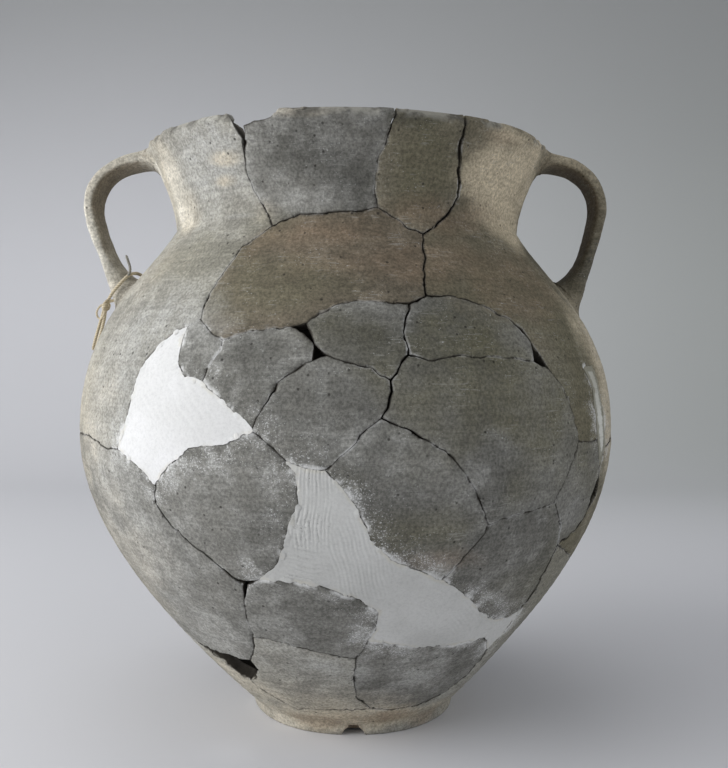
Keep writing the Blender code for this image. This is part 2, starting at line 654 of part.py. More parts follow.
def handle(name, side, reach):
    """A rolled strap handle in the plane of the jar's axis. Side is -1 for left, +1 for right."""
    path = handle_path(reach)
    body = bmesh.new()
    sections = []
    for index, point in enumerate(path):
        before, after = path[max(index - 1, 0)], path[min(index + 1, len(path) - 1)]
        along = (after - before).normalized()
        across = Vector((-along.y, along.x, 0.0))
        share = index / (len(path) - 1)
        low_flare = smooth((share - 1 + ROOT_SHARE) / ROOT_SHARE)
        rounding = smooth((share - 1 + ROOT_SHARE) / ROOT_SHARE + 0.5)
        flare = smooth(1 - share / ROOT_SHARE) + low_flare
        width = HANDLE_WIDTH + (ROOT_WIDTH - HANDLE_WIDTH) * flare
        thick = HANDLE_THICKNESS + (ROOT_THICKNESS - HANDLE_THICKNESS) * low_flare
        softness = STRAP_SOFTNESS + (ROOT_SOFTNESS - STRAP_SOFTNESS) * rounding
        section = []
        for step in range(HANDLE_SIDE_COUNT):
            turn = math.tau * step / HANDLE_SIDE_COUNT
            sway = math.copysign(abs(math.cos(turn)) ** softness, math.cos(turn)) * width / 2
            lift = math.copysign(abs(math.sin(turn)) ** softness, math.sin(turn)) * thick / 2
            spot = point + across * lift
            section.append(body.verts.new((AXIS_X + side * spot.x, sway, spot.y)))
        sections.append(section)
    bridge(body, sections)
    body.faces.new(sections[0])
    body.faces.new(sections[-1])
    return finish_body(name, body)


def catmull(points, count):
    """A smooth curve through points, read at even steps of its length."""
    fine = []
    padded = [points[0]] + points + [points[-1]]
    for p0, p1, p2, p3 in zip(padded, padded[1:], padded[2:], padded[3:]):
        for step in range(12):
            t = step / 12
            fine.append(0.5 * (2 * p1 + (p2 - p0) * t + (2 * p0 - 5 * p1 + 4 * p2 - p3) * t * t
                               + (3 * p1 - p0 - 3 * p2 + p3) * t ** 3))
    fine.append(points[-1])
    lengths = [0.0]
    for a, b in zip(fine, fine[1:]):
        lengths.append(lengths[-1] + (b - a).length)
    even, index = [], 0
    for step in range(count):
        want = lengths[-1] * step / (count - 1)
        while index < len(fine) - 2 and lengths[index + 1] < want:
            index += 1
        share = (want - lengths[index]) / (lengths[index + 1] - lengths[index])
        even.append(fine[index].lerp(fine[index + 1], share))
    return even


def tie_string():
    """The cotton string round the left handle's root, as one tube with two hanging tails."""
    route = catmull([Vector(point) for point in STRING_ROUTE], STRING_POINT_COUNT)
    curve = bpy.data.curves.new("tie_string", "CURVE")
    curve.dimensions = "3D"
    curve.bevel_depth = STRING_DIAMETER / 2
    curve.bevel_resolution = 2
    curve.use_fill_caps = True
    spline = curve.splines.new("POLY")
    spline.points.add(len(route) - 1)
    for knot, point in zip(spline.points, route):
        knot.co = (*point, 1.0)
    curve.materials.append(clay("tie_string"))
    thing = bpy.data.objects.new("tie_string", curve)
    bpy.context.scene.collection.objects.link(thing)
    return thing


def main():
    """Build every piece of the jar."""
    remove_everything()
    made = {name: sherd(name) for name in PIECES}
    base()
    join(made["side_left"], handle("left_handle_strap", -1, LEFT_REACH))
    join(made["side_right"], handle("right_handle_strap", 1, RIGHT_REACH))
    tie_string()


main()
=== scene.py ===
"""Looks of a two-handled pottery jar, mended from fired-clay sherds, plaster fills and a tie string.

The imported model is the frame. Each sherd is worked up from a copy of its own solid: the faces are
divided, laid on the smooth turned form, and given the unevenness, chips and pits of old pottery.
Places on the wall are (azimuth in degrees, height in metres): 0 is the front, +90 the right handle.
"""

import logging
import math
from dataclasses import dataclass
from enum import Enum
from typing import Sequence

import bpy
import numpy as np
from mathutils import Matrix, Vector
from mathutils.geometry import interpolate_bezier
from mathutils.kdtree import KDTree


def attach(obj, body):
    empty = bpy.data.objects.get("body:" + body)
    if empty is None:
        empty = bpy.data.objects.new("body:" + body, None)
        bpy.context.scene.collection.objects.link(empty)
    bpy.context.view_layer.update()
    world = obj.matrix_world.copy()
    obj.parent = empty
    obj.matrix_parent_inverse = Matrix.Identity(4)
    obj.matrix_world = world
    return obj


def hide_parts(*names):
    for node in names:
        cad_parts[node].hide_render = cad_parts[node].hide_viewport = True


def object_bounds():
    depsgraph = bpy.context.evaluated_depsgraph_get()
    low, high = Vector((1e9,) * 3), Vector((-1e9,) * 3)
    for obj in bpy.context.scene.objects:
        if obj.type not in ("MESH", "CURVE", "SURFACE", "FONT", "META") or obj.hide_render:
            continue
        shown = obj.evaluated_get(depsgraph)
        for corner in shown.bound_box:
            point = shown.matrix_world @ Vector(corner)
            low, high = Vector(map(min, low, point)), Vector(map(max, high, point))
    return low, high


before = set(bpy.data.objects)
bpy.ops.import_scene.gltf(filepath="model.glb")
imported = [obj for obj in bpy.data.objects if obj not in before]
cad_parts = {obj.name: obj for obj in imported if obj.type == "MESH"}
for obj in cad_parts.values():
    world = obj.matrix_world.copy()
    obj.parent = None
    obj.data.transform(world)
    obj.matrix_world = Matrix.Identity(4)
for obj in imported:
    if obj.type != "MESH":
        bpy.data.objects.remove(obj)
CAD_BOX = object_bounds()

Array = np.ndarray
Colour = tuple[float, float, float]
Place = tuple[float, float, float]
Socket = bpy.types.NodeSocket
LOG = logging.getLogger("jar")
MM = 0.001

# Vertices are marked 1 on the outside and 0 on the inside, and new ones between them in between
OUTSIDE = 0.999
INSIDE = 0.001

# How the cells of the lattice noise are turned and stirred
NOISE_TURN = np.array(Matrix.Rotation(0.9, 3, Vector((0.5, 0.7, 0.3))))
CELL_PRIMES = np.array([73856093, 19349663, 83492791])
SEED_PRIME = 40503
STIR_PRIME = 1274126177
SEED_SHIFT = 17.13
NOISE_LEVELS = 0xFFFF


class Finish(Enum):
    """The material slots of the record."""

    GREY = "grey_clay"
    BUFF = "buff_clay"
    RED = "red_clay"
    OLIVE = "olive_clay"
    PLASTER = "plaster"
    COTTON = "cotton"


def ease(value: Array) -> Array:
    """A smooth step from 0 to 1."""
    t = np.clip(value, 0.0, 1.0)
    return t * t * (3 - 2 * t)


def above(value: Array, start: float, softness: float) -> Array:
    """0 where the value is under start, easing to 1 over softness."""
    return ease((value - start) / softness)


def fade(distance: Array, reach: float) -> Array:
    """1 at no distance, falling evenly to 0 at reach."""
    return np.clip(1 - distance / reach, 0, 1)


def lattice_noise(points: Array, size: float, seed: int) -> Array:
    """Smooth noise from -1 to 1.

    Args:
        points: places in space, one row each.
        size: about how wide a lump is, in metres.
        seed: which noise it is.

    Returns:
        One value for each point.
    """
    scaled = points @ NOISE_TURN / size + SEED_SHIFT * seed
    cell = np.floor(scaled).astype(np.int64)
    part = scaled - cell
    part = part * part * (3 - 2 * part)
    total = np.zeros(len(points))
    for corner in range(8):
        offset = np.array([(corner >> axis) & 1 for axis in range(3)])
        spot = (cell + offset) * CELL_PRIMES
        mixed = spot[:, 0] ^ spot[:, 1] ^ spot[:, 2] ^ (seed * SEED_PRIME)
        mixed = (mixed ^ (mixed >> 13)) * STIR_PRIME
        value = ((mixed >> 16) & NOISE_LEVELS) / (NOISE_LEVELS / 2) - 1
        total += value * np.prod(np.where(offset, part, 1 - part), axis=1)
    return total


@dataclass(frozen=True)
class Lumps:
    """Unevenness of one kind. Each of its layers is half as wide and half as strong as the last."""

    rise: float
    width: float
    seed: int
    layers: int = 3

    def at(self, points: Array) -> Array:
        """How strong it is at each point, from -rise to rise or a little more."""
        return self.rise * sum(
            lattice_noise(points, self.width / 2**i, self.seed + i) / 2**i for i in range(self.layers)
        )


# Unevenness with its rise in metres. Of two, the first moves along the wall and the second up it
CRACK_WANDER = (Lumps(0.8 * MM, 14 * MM, 3), Lumps(0.8 * MM, 14 * MM, 11))
CRACK_JAGS = (Lumps(0.46 * MM, 4.0 * MM, 21), Lumps(0.46 * MM, 4.0 * MM, 31))
BODY_SWELL = Lumps(0.45 * MM, 70 * MM, 41, 2)
CLAY_GRAIN = Lumps(0.10 * MM, 5 * MM, 53)
PLASTER_LUMPS = Lumps(0.10 * MM, 9 * MM, 47)
LINING_LUMPS = Lumps(0.3 * MM, 12 * MM, 71)
HANDLE_LUMPS = Lumps(0.45 * MM, 16 * MM, 81, 2)
HANDLE_GRAIN = Lumps(0.12 * MM, 4 * MM, 83)

# Unevenness without a size, which moves or breaks up something else
STROKE_WANDER = Lumps(1.0, 18 * MM, 45, 2)
THROWING_WANDER = Lumps(1.5, 40 * MM, 51, 2)
FLAKES = Lumps(1.0, 9 * MM, 57, 1)
WORN_AREAS = Lumps(1.0, 60 * MM, 59, 1)
EDGE_CHIPS = Lumps(1.0, 5 * MM, 61, 2)
RIM_CHIPS = Lumps(1.0, 9 * MM, 63)
RING_WANDER = Lumps(2.0, 60 * MM, 67, 2)
HANDLE_SCARS = Lumps(1.0, 6 * MM, 85, 1)
PATCH_WANDER = Lumps(1.0, 26 * MM, 91)
CLOSED_CRACKS = Lumps(0.7, 11 * MM, 95, 1)
TIGHT_WANDER = Lumps(1.6, 9 * MM, 97)
PLASTER_LAPS = Lumps(0.8, 3.6 * MM, 99, 2)


def read(items: Sequence, name: str, width: int = 3) -> Array:
    """One property of all vertices, edges or attribute values as an array.

    Args:
        items: the vertices, edges or values.
        name: the property's name.
        width: how many numbers it has.

    Returns:
        One row for each item, or one number where width is 1.
    """
    values = np.zeros(len(items) * width, np.float32)
    items.foreach_get(name, values)
    return values.reshape(-1, width).astype(float) if width > 1 else values.astype(float)


def store(mesh: bpy.types.Mesh, name: str, values: Array) -> None:
    """Keep one value for each vertex in a named attribute."""
    layer = mesh.attributes.get(name) or mesh.attributes.new(name, "FLOAT", "POINT")
    layer.data.foreach_set("value", values.astype(np.float32))


def recall(mesh: bpy.types.Mesh, name: str) -> Array:
    """The values of a named attribute."""
    return read(mesh.attributes[name].data, "value", 1)


def move_vertices(mesh: bpy.types.Mesh, points: Array) -> None:
    """Put a mesh's vertices at new places."""
    mesh.vertices.foreach_set("co", points.astype(np.float32).ravel())
    mesh.update()


def grow_tree(points: Array, names: Sequence[int]) -> KDTree:
    """A search tree of points.

    Args:
        points: the places.
        names: which of them go into the tree.

    Returns:
        The tree, ready to search.
    """
    tree = KDTree(len(names))
    for name in names:
        tree.insert(points[name], int(name))
    tree.balance()
    return tree


def select_only(thing: bpy.types.Object) -> None:
    """Make one object the active one and the only one selected."""
    bpy.ops.object.select_all(action="DESELECT")
    thing.select_set(True)
    bpy.context.view_layer.objects.active = thing


@dataclass(frozen=True)
class JarForm:
    """The turned form of the jar, in metres."""

    height: float = 0.350
    rim_radius: float = 0.1253
    waist_height: float = 0.2975
    waist_radius: float = 0.1068
    shoulder_height: float = 0.260
    shoulder_radius: float = 0.1360
    belly_height: float = 0.177
    belly_radius: float = 0.1648
    foot_height: float = 0.009
    start_radius: float = 0.0658
    wall: float = 0.0070
    lip: float = 0.0030
    foot_slope: float = 0.98
    shoulder_slope: float = -0.80
    waist_slope_below: float = -0.62
    waist_slope_above: float = 0.04
    rim_slope: float = 0.48
    inner_curve: float = 0.012
    inner_stations: int = 600
    axis_shift: float = 0.00055
    lean: float = 0.0052
    lean_height: float = 0.200

    def spans(self) -> list[tuple[Place, Place]]:
        """The (height, radius, slope) at both ends of each stretch of the profile."""
        belly = (self.belly_height, self.belly_radius, 0.0)
        shoulder = (self.shoulder_height, self.shoulder_radius, self.shoulder_slope)
        return [
            ((self.foot_height, self.start_radius, self.foot_slope), belly),
            (belly, shoulder),
            (shoulder, (self.waist_height, self.waist_radius, self.waist_slope_below)),
            ((self.waist_height, self.waist_radius, self.waist_slope_above),
             (self.height, self.rim_radius, self.rim_slope)),
        ]

    def outer(self, height: Array) -> Array:
        """The outside radius.

        Args:
            height: the heights to read it at.

        Returns:
            One radius for each height.
        """
        level = np.clip(height, self.foot_height, self.height)
        radius = np.zeros_like(level)
        for (low, start, rise), (high, end, fall) in self.spans():
            span = high - low
            t = (level - low) / span
            curve = ((1 + 2 * t) * (1 - t) ** 2 * start + t * (1 - t) ** 2 * span * rise
                     + t * t * (3 - 2 * t) * end + t * t * (t - 1) * span * fall)
            radius = np.where((level >= low) & (level <= high), curve, radius)
        return radius

    def slope(self, height: Array) -> Array:
        """How fast the outside radius grows with height."""
        step = self.inner_curve / 3
        low = np.maximum(height - step, self.foot_height)
        high = np.minimum(height + step, self.height)
        return (self.outer(high) - self.outer(low)) / (high - low)

    def inner(self, height: Array) -> Array:
        """The inside radius, one wall in from the outside.

        Args:
            height: the heights to read it at.

        Returns:
            One radius for each height.
        """
        level = np.linspace(self.foot_height, self.height, self.inner_stations)
        radius, slope = self.outer(level), self.slope(level)
        stretch = np.sqrt(1 + slope**2)
        flat = ease((level - self.waist_height) / (2 * self.inner_curve) + 0.5)
        square_radius = radius - self.wall / stretch
        square_height = level + self.wall * slope / stretch
        inside_radius = square_radius + (radius - self.wall * stretch - square_radius) * flat
        inside_height = square_height + (level - square_height) * flat
        order = np.argsort(inside_height)
        return np.interp(height, inside_height[order], inside_radius[order])

    def axis(self, height: Array) -> Array:
        """Where the leaning axis is in x at each height."""
        low = np.clip(1 - height / self.lean_height, 0.0, None)
        return self.axis_shift + self.lean * low**2

    def to_round(self, points: Array) -> tuple[Array, Array, Array]:
        """Azimuth in radians, radius and height of each point."""
        across = points[:, 0] - self.axis(points[:, 2])
        return np.arctan2(across, -points[:, 1]), np.hypot(across, points[:, 1]), points[:, 2].copy()

    def to_space(self, azimuth: Array, radius: Array, height: Array) -> Array:
        """Points from azimuth in radians, radius and height."""
        x = self.axis(height) + radius * np.sin(azimuth)
        return np.column_stack([x, -radius * np.cos(azimuth), height])

    def on_outside(self, azimuth: Array, height: Array) -> Array:
        """The points of the smooth outside at azimuth in radians and height."""
        return self.to_space(azimuth, self.outer(height), height)

    def outward(self, azimuth: Array, height: Array) -> Array:
        """The direction square to the outside, of length 1, at azimuth in radians and height."""
        away = np.column_stack([np.sin(azimuth), -np.cos(azimuth), -self.slope(height)])
        return away / np.linalg.norm(away, axis=1)[:, None]


@dataclass(frozen=True)
class Strap:
    """A rolled strap handle in the plane of the jar's axis. Side is -1 for left and +1 for right.

    Reach, top, outermost and low place its centre line, and the pulls are how far its curve is drawn
    out at each of them. A softness of 1 gives an elliptical section, and one near 0 a box.
    """

    side: float
    reach: float
    form: JarForm
    top: float = 0.3445
    outermost: float = 0.314
    low: float = 0.2580
    width: float = 0.0290
    thickness: float = 0.0078
    root_width: float = 0.0370
    root_thickness: float = 0.0210
    root_share: float = 0.28
    top_pull: float = 0.022
    outer_pull: float = 0.011
    low_pull: float = 0.015
    strap_softness: float = 0.5
    root_softness: float = 0.8
    stations: int = 60
    end_slack: float = 2 * MM

    def path(self) -> Array:
        """(radius, height) along the centre line, from inside the rim to inside the shoulder."""
        form = self.form
        radii = form.outer(np.array([self.top, self.low]))
        slope = float(form.slope(np.array([self.low]))[0])
        start = Vector((radii[0] - form.wall / 2, self.top, 0.0))
        middle = Vector((self.reach, self.outermost, 0.0))
        square = Vector((1.0, -slope, 0.0)).normalized()
        end = Vector((radii[1], self.low, 0.0)) - square * form.wall / 2
        down = Vector((0.0, self.outer_pull, 0.0))
        out = start + Vector((self.top_pull, form.lip / 2, 0.0))
        first = interpolate_bezier(start, out, middle + 2 * down, middle, self.stations)
        second = interpolate_bezier(middle, middle - down, end + square * self.low_pull, end, self.stations)
        return np.array([(p.x, p.y) for p in first + second[1:]])

    def distance(self, points: Array) -> Array:
        """How far points are outside the strap's surface.

        Args:
            points: the places to measure at.

        Returns:
            One distance for each point, negative inside the strap.
        """
        path = self.path()
        share = np.linspace(0, 1, len(path))
        along = np.gradient(path, axis=0)
        along /= np.linalg.norm(along, axis=1)[:, None]
        flat = np.column_stack([self.side * (points[:, 0] - self.form.axis_shift), points[:, 2]])
        gaps = np.linalg.norm(flat[:, None, :] - path[None, :, :], axis=2)
        nearest = gaps.argmin(axis=1)
        offset = flat - path[nearest]
        lift = offset[:, 1] * along[nearest, 0] - offset[:, 0] * along[nearest, 1]
        beyond = np.abs((offset * along[nearest]).sum(axis=1))
        low_flare = ease((share - 1 + self.root_share) / self.root_share)[nearest]
        rounding = ease((share - 1 + self.root_share) / self.root_share + 0.5)[nearest]
        power = 2 / (self.strap_softness + (self.root_softness - self.strap_softness) * rounding)
        flare = ease(1 - share / self.root_share)[nearest] + low_flare
        half_width = (self.width + (self.root_width - self.width) * flare) / 2
        half_thick = (self.thickness + (self.root_thickness - self.thickness) * low_flare) / 2
        ratio = ((np.abs(points[:, 1]) / half_width) ** power
                 + (np.abs(lift) / half_thick) ** power) ** (1 / power)
        reach = np.hypot(points[:, 1], lift)
        side_gap = reach * (1 - 1 / np.maximum(ratio, 1e-6))
        return np.where(beyond > self.end_slack, np.hypot(np.maximum(side_gap, 0), beyond), side_gap)


@dataclass(frozen=True)
class Body:
    """The outer surface of the wall with a handle blended into it."""

    form: JarForm
    strap: Strap
    fillet: float = 0.010
    rim_gap_limit: float = 0.02
    probe: float = 0.1 * MM
    least_rise: float = 0.25

    def distance(self, points: Array) -> Array:
        """How far points are outside the blended surface.

        Args:
            points: the places to measure at.

        Returns:
            One distance for each point, negative inside.
        """
        form = self.form
        _, radius, height = form.to_round(points)
        wall = (radius - form.outer(height)) / np.sqrt(1 + form.slope(height) ** 2)
        edge = form.height - form.lip
        middle = (form.outer(height) + form.inner(height)) / 2
        half = np.maximum(form.outer(height) - middle, MM)
        arch = np.hypot((radius - middle) / half, np.maximum(height - edge, 0) / form.lip)
        lip = np.hypot(radius - middle, height - edge) * (1 - 1 / np.maximum(arch, 1e-3))
        wall = np.where(height > edge, np.minimum(lip, self.rim_gap_limit), wall)
        strap = self.strap.distance(points)
        mix = np.clip(0.5 + 0.5 * (strap - wall) / self.fillet, 0, 1)
        return strap * (1 - mix) + wall * mix - self.fillet * mix * (1 - mix)

    def settle(self, points: Array, rounds: int = 4) -> Array:
        """Move points square to the blended surface until they lie on it.

        Args:
            points: places near the surface.
            rounds: how many times they are moved.

        Returns:
            The moved points.
        """
        for _ in range(rounds):
            here = self.distance(points)
            rise = np.column_stack([
                (self.distance(points + self.probe * axis) - here) / self.probe for axis in np.eye(3)
            ])
            strength = np.maximum((rise**2).sum(axis=1), self.least_rise)
            points = points - (here / strength)[:, None] * rise
        return points


@dataclass(frozen=True)
class Patch:
    """An area of the wall with its own tone: (azimuth, height) of its middle and half its size."""

    azimuth: float
    height: float
    half_width: float
    half_height: float
    strength: float = 1.0
    spread: float = 1.25
    wander: float = 0.45

    def mask(self, azimuth: Array, height: Array, stray: Array) -> Array:
        """How strongly places belong to the patch.

        Args:
            azimuth: their azimuths in radians.
            height: their heights.
            stray: how far the patch's edge wanders at each, about -1 to 1.

        Returns:
            One value for each place, from 0 to the patch's strength.
        """
        turn = (np.degrees(azimuth) - self.azimuth + 180) % 360 - 180
        away = np.hypot(turn / self.half_width, (height - self.height) / self.half_height)
        return self.strength * ease(self.spread - away + self.wander * stray)


@dataclass(frozen=True)
class FootChip:
    """The arch broken out of the front of the ring foot."""

    azimuth: float = 1.0
    half_width: float = 0.0066
    height: float = 0.0062
    inner_radius: float = 0.0535
    fade: float = 0.003

    def arch(self, azimuth: Array, radius: Array) -> Array:
        """The lowest height that a point of the foot can have there, 0 outside the chip."""
        across = (azimuth - math.radians(self.azimuth)) * radius / self.half_width
        rise = self.height * np.sqrt(np.clip(1 - across**2, 0.0, None))
        return rise * above(radius, self.inner_radius, self.fade)


# Where smoke, fire, dirt and dust coloured the wall
PATCHES: dict[str, list[Patch]] = {
    "buff": [
        Patch(-78, 0.330, 22, 0.034, 1.0),
        Patch(-62, 0.305, 12, 0.016, 0.9),
        Patch(-35, 0.328, 6, 0.004, 0.9),
        Patch(-37, 0.317, 5, 0.004, 0.9),
        Patch(-85, 0.262, 34, 0.030, 0.5),
        Patch(-82, 0.190, 30, 0.060, 0.7),
        Patch(-75, 0.110, 36, 0.050, 0.45),
        Patch(72, 0.190, 14, 0.060, 0.5),
        Patch(-40, 0.008, 50, 0.012, 0.8),
        Patch(140, 0.008, 130, 0.012, 0.6),
        Patch(-35, 0.026, 50, 0.024, 0.7),
        Patch(-8, 0.3485, 12, 0.0035, 0.6),
        Patch(-23, 0.300, 5, 0.008, 0.5),
        Patch(150, 0.250, 50, 0.070, 0.5),
        Patch(-150, 0.140, 40, 0.060, 0.6),
    ],
    "tan": [
        Patch(56, 0.330, 24, 0.034, 1.0),
        Patch(50, 0.344, 14, 0.008, 1.0),
        Patch(60, 0.300, 22, 0.014, 0.9),
        Patch(76, 0.256, 12, 0.022, 0.35),
        Patch(67, 0.212, 11, 0.050, 0.75),
        Patch(14, 0.011, 40, 0.010, 0.8),
    ],
    "cream": [
        Patch(-90, 0.300, 15, 0.056, 0.95),
        Patch(-64, 0.318, 9, 0.022, 0.7),
    ],
    "red": [
        Patch(-2, 0.287, 22, 0.012, 0.9),
        Patch(16, 0.272, 26, 0.016, 0.7),
        Patch(47, 0.342, 12, 0.005, 0.5),
        Patch(30, 0.298, 22, 0.012, 0.7),
        Patch(44, 0.262, 22, 0.020, 0.5),
        Patch(20, 0.122, 10, 0.008, 0.5),
        Patch(16, 0.012, 22, 0.006, 0.8),
        Patch(-14, 0.009, 14, 0.005, 0.7),
        Patch(40, 0.006, 12, 0.008, 0.6),
        Patch(1, 0.003, 6.5, 0.007, 1.0),
        Patch(-160, 0.300, 40, 0.020, 0.5),
        Patch(110, 0.120, 30, 0.040, 0.5),
    ],
    "olive": [
        Patch(23, 0.322, 14, 0.030, 0.9),
        Patch(28, 0.205, 26, 0.050, 0.9),
        Patch(58, 0.200, 20, 0.080, 0.8),
        Patch(46, 0.252, 30, 0.024, 0.8),
        Patch(16, 0.138, 14, 0.016, 0.7),
        Patch(60, 0.090, 26, 0.040, 0.6),
        Patch(-10, 0.258, 20, 0.018, 0.7),
        Patch(2, 0.238, 14, 0.018, 0.5),
        Patch(-22, 0.292, 14, 0.012, 0.5),
        Patch(-40, 0.276, 22, 0.016, 0.5),
        Patch(-95, 0.300, 20, 0.030, 0.5),
    ],
    "dark": [
        Patch(-4, 0.322, 17, 0.020, 0.55),
        Patch(3, 0.236, 14, 0.016, 1.0),
        Patch(17, 0.232, 16, 0.024, 0.75),
        Patch(-14, 0.222, 8, 0.016, 0.4),
        Patch(-4, 0.198, 11, 0.022, 0.3),
        Patch(9, 0.142, 11, 0.026, 0.7),
        Patch(4, 0.104, 9, 0.010, 0.45),
        Patch(-14, 0.142, 9, 0.020, 0.4),
        Patch(35, 0.150, 14, 0.040, 0.4),
        Patch(18, 0.3455, 9, 0.005, 0.9),
        Patch(86, 0.275, 20, 0.030, 0.6),
        Patch(-175, 0.180, 50, 0.060, 0.7),
        Patch(100, 0.210, 30, 0.060, 0.4),
    ],
    "pale": [
        Patch(-48, 0.190, 14, 0.060, 0.9),
        Patch(-40, 0.240, 16, 0.020, 0.8),
        Patch(-45, 0.120, 20, 0.040, 0.7),
        Patch(-30, 0.070, 26, 0.026, 0.8),
        Patch(-6, 0.055, 24, 0.014, 0.8),
        Patch(22, 0.050, 14, 0.016, 0.7),
        Patch(-14, 0.307, 14, 0.008, 0.8),
        Patch(-42, 0.325, 17, 0.028, 1.0),
        Patch(-33, 0.2985, 8, 0.0016, 1.0),
        Patch(40, 0.190, 9, 0.050, 0.4),
        Patch(71, 0.205, 9, 0.050, 0.6),
        Patch(-140, 0.230, 34, 0.060, 0.4),
    ],
    "dusty": [
        Patch(1, 0.184, 9, 0.012, 1.0),
        Patch(22, 0.122, 9, 0.018, 1.0),
        Patch(-25, 0.225, 7, 0.016, 1.0),
        Patch(12, 0.225, 5, 0.006, 1.0),
        Patch(33, 0.322, 5, 0.026, 0.8),
        Patch(48, 0.135, 8, 0.018, 0.7),
        Patch(-52, 0.172, 12, 0.008, 1.0),
    ],
}

# Where the rim has lost flakes
RIM_WEAR = Patch(4, 0.349, 22, 0.012)
FOOT_CHIP = FootChip()

# Where the cracks are closed
TIGHT = [
    Patch(-27, 0.268, 8, 0.024),
    Patch(-25, 0.228, 5, 0.014),
    Patch(-16, 0.236, 7, 0.005),
    Patch(-31, 0.132, 6, 0.018),
    Patch(35, 0.142, 8, 0.008),
    Patch(10, 0.322, 4, 0.012),
    Patch(-12, 0.298, 5, 0.004),
    Patch(-14, 0.0715, 6, 0.006),
    Patch(5, 0.249, 7, 0.004),
    Patch(55, 0.178, 6, 0.006),
]


@dataclass(frozen=True)
class Stroke:
    """Spatula ridges in wet plaster round a place on the wall, each ridge spacing metres apart.

    Lean is the ridges' angle in degrees, and a second, finer wave crosses them.
    """

    azimuth: float
    height: float
    half_width: float
    half_height: float
    lean: float
    spacing: float
    depth: float
    spread: float = 1.4
    second_wave: float = 0.61
    second_rise: float = 0.5

    def relief(self, azimuth: Array, height: Array, stray: Array, form: JarForm) -> Array:
        """How far the ridges stand out.

        Args:
            azimuth: where to measure, in radians.
            height: where to measure.
            stray: how far the ridges wander there, about -1 to 1.
            form: the turned form that they lie on.

        Returns:
            One rise for each place.
        """
        across = (azimuth - math.radians(self.azimuth)) * form.outer(height)
        along = height - self.height
        lean = math.radians(self.lean)
        u = across * math.cos(lean) + along * math.sin(lean)
        v = along * math.cos(lean) - across * math.sin(lean)
        reach = ease(self.spread - np.hypot(u / self.half_width, v / self.half_height))
        wave = np.sin(math.tau * u / self.spacing + 4.5 * stray)
        second = np.sin(math.tau * self.second_wave * u / self.spacing + 6 * stray)
        return self.depth * reach * (wave + self.second_rise * second) * (0.75 + 0.5 * stray)


STROKES = [
    Stroke(-5.5, 0.154, 0.012, 0.026, -4, 0.0019, 0.00022),
    Stroke(-7.0, 0.118, 0.020, 0.011, 76, 0.0022, 0.00018),
    Stroke(3.0, 0.122, 0.016, 0.022, 12, 0.0021, 0.00011),
    Stroke(20.0, 0.104, 0.022, 0.008, 62, 0.0022, 0.00014),
    Stroke(31.0, 0.090, 0.018, 0.010, 48, 0.0020, 0.00014),
    Stroke(44.0, 0.070, 0.014, 0.016, 30, 0.0024, 0.00011),
    Stroke(-30.0, 0.200, 0.030, 0.030, 40, 0.0040, 0.00005),
    Stroke(61.0, 0.195, 0.008, 0.030, 4, 0.0024, 0.00014),
]


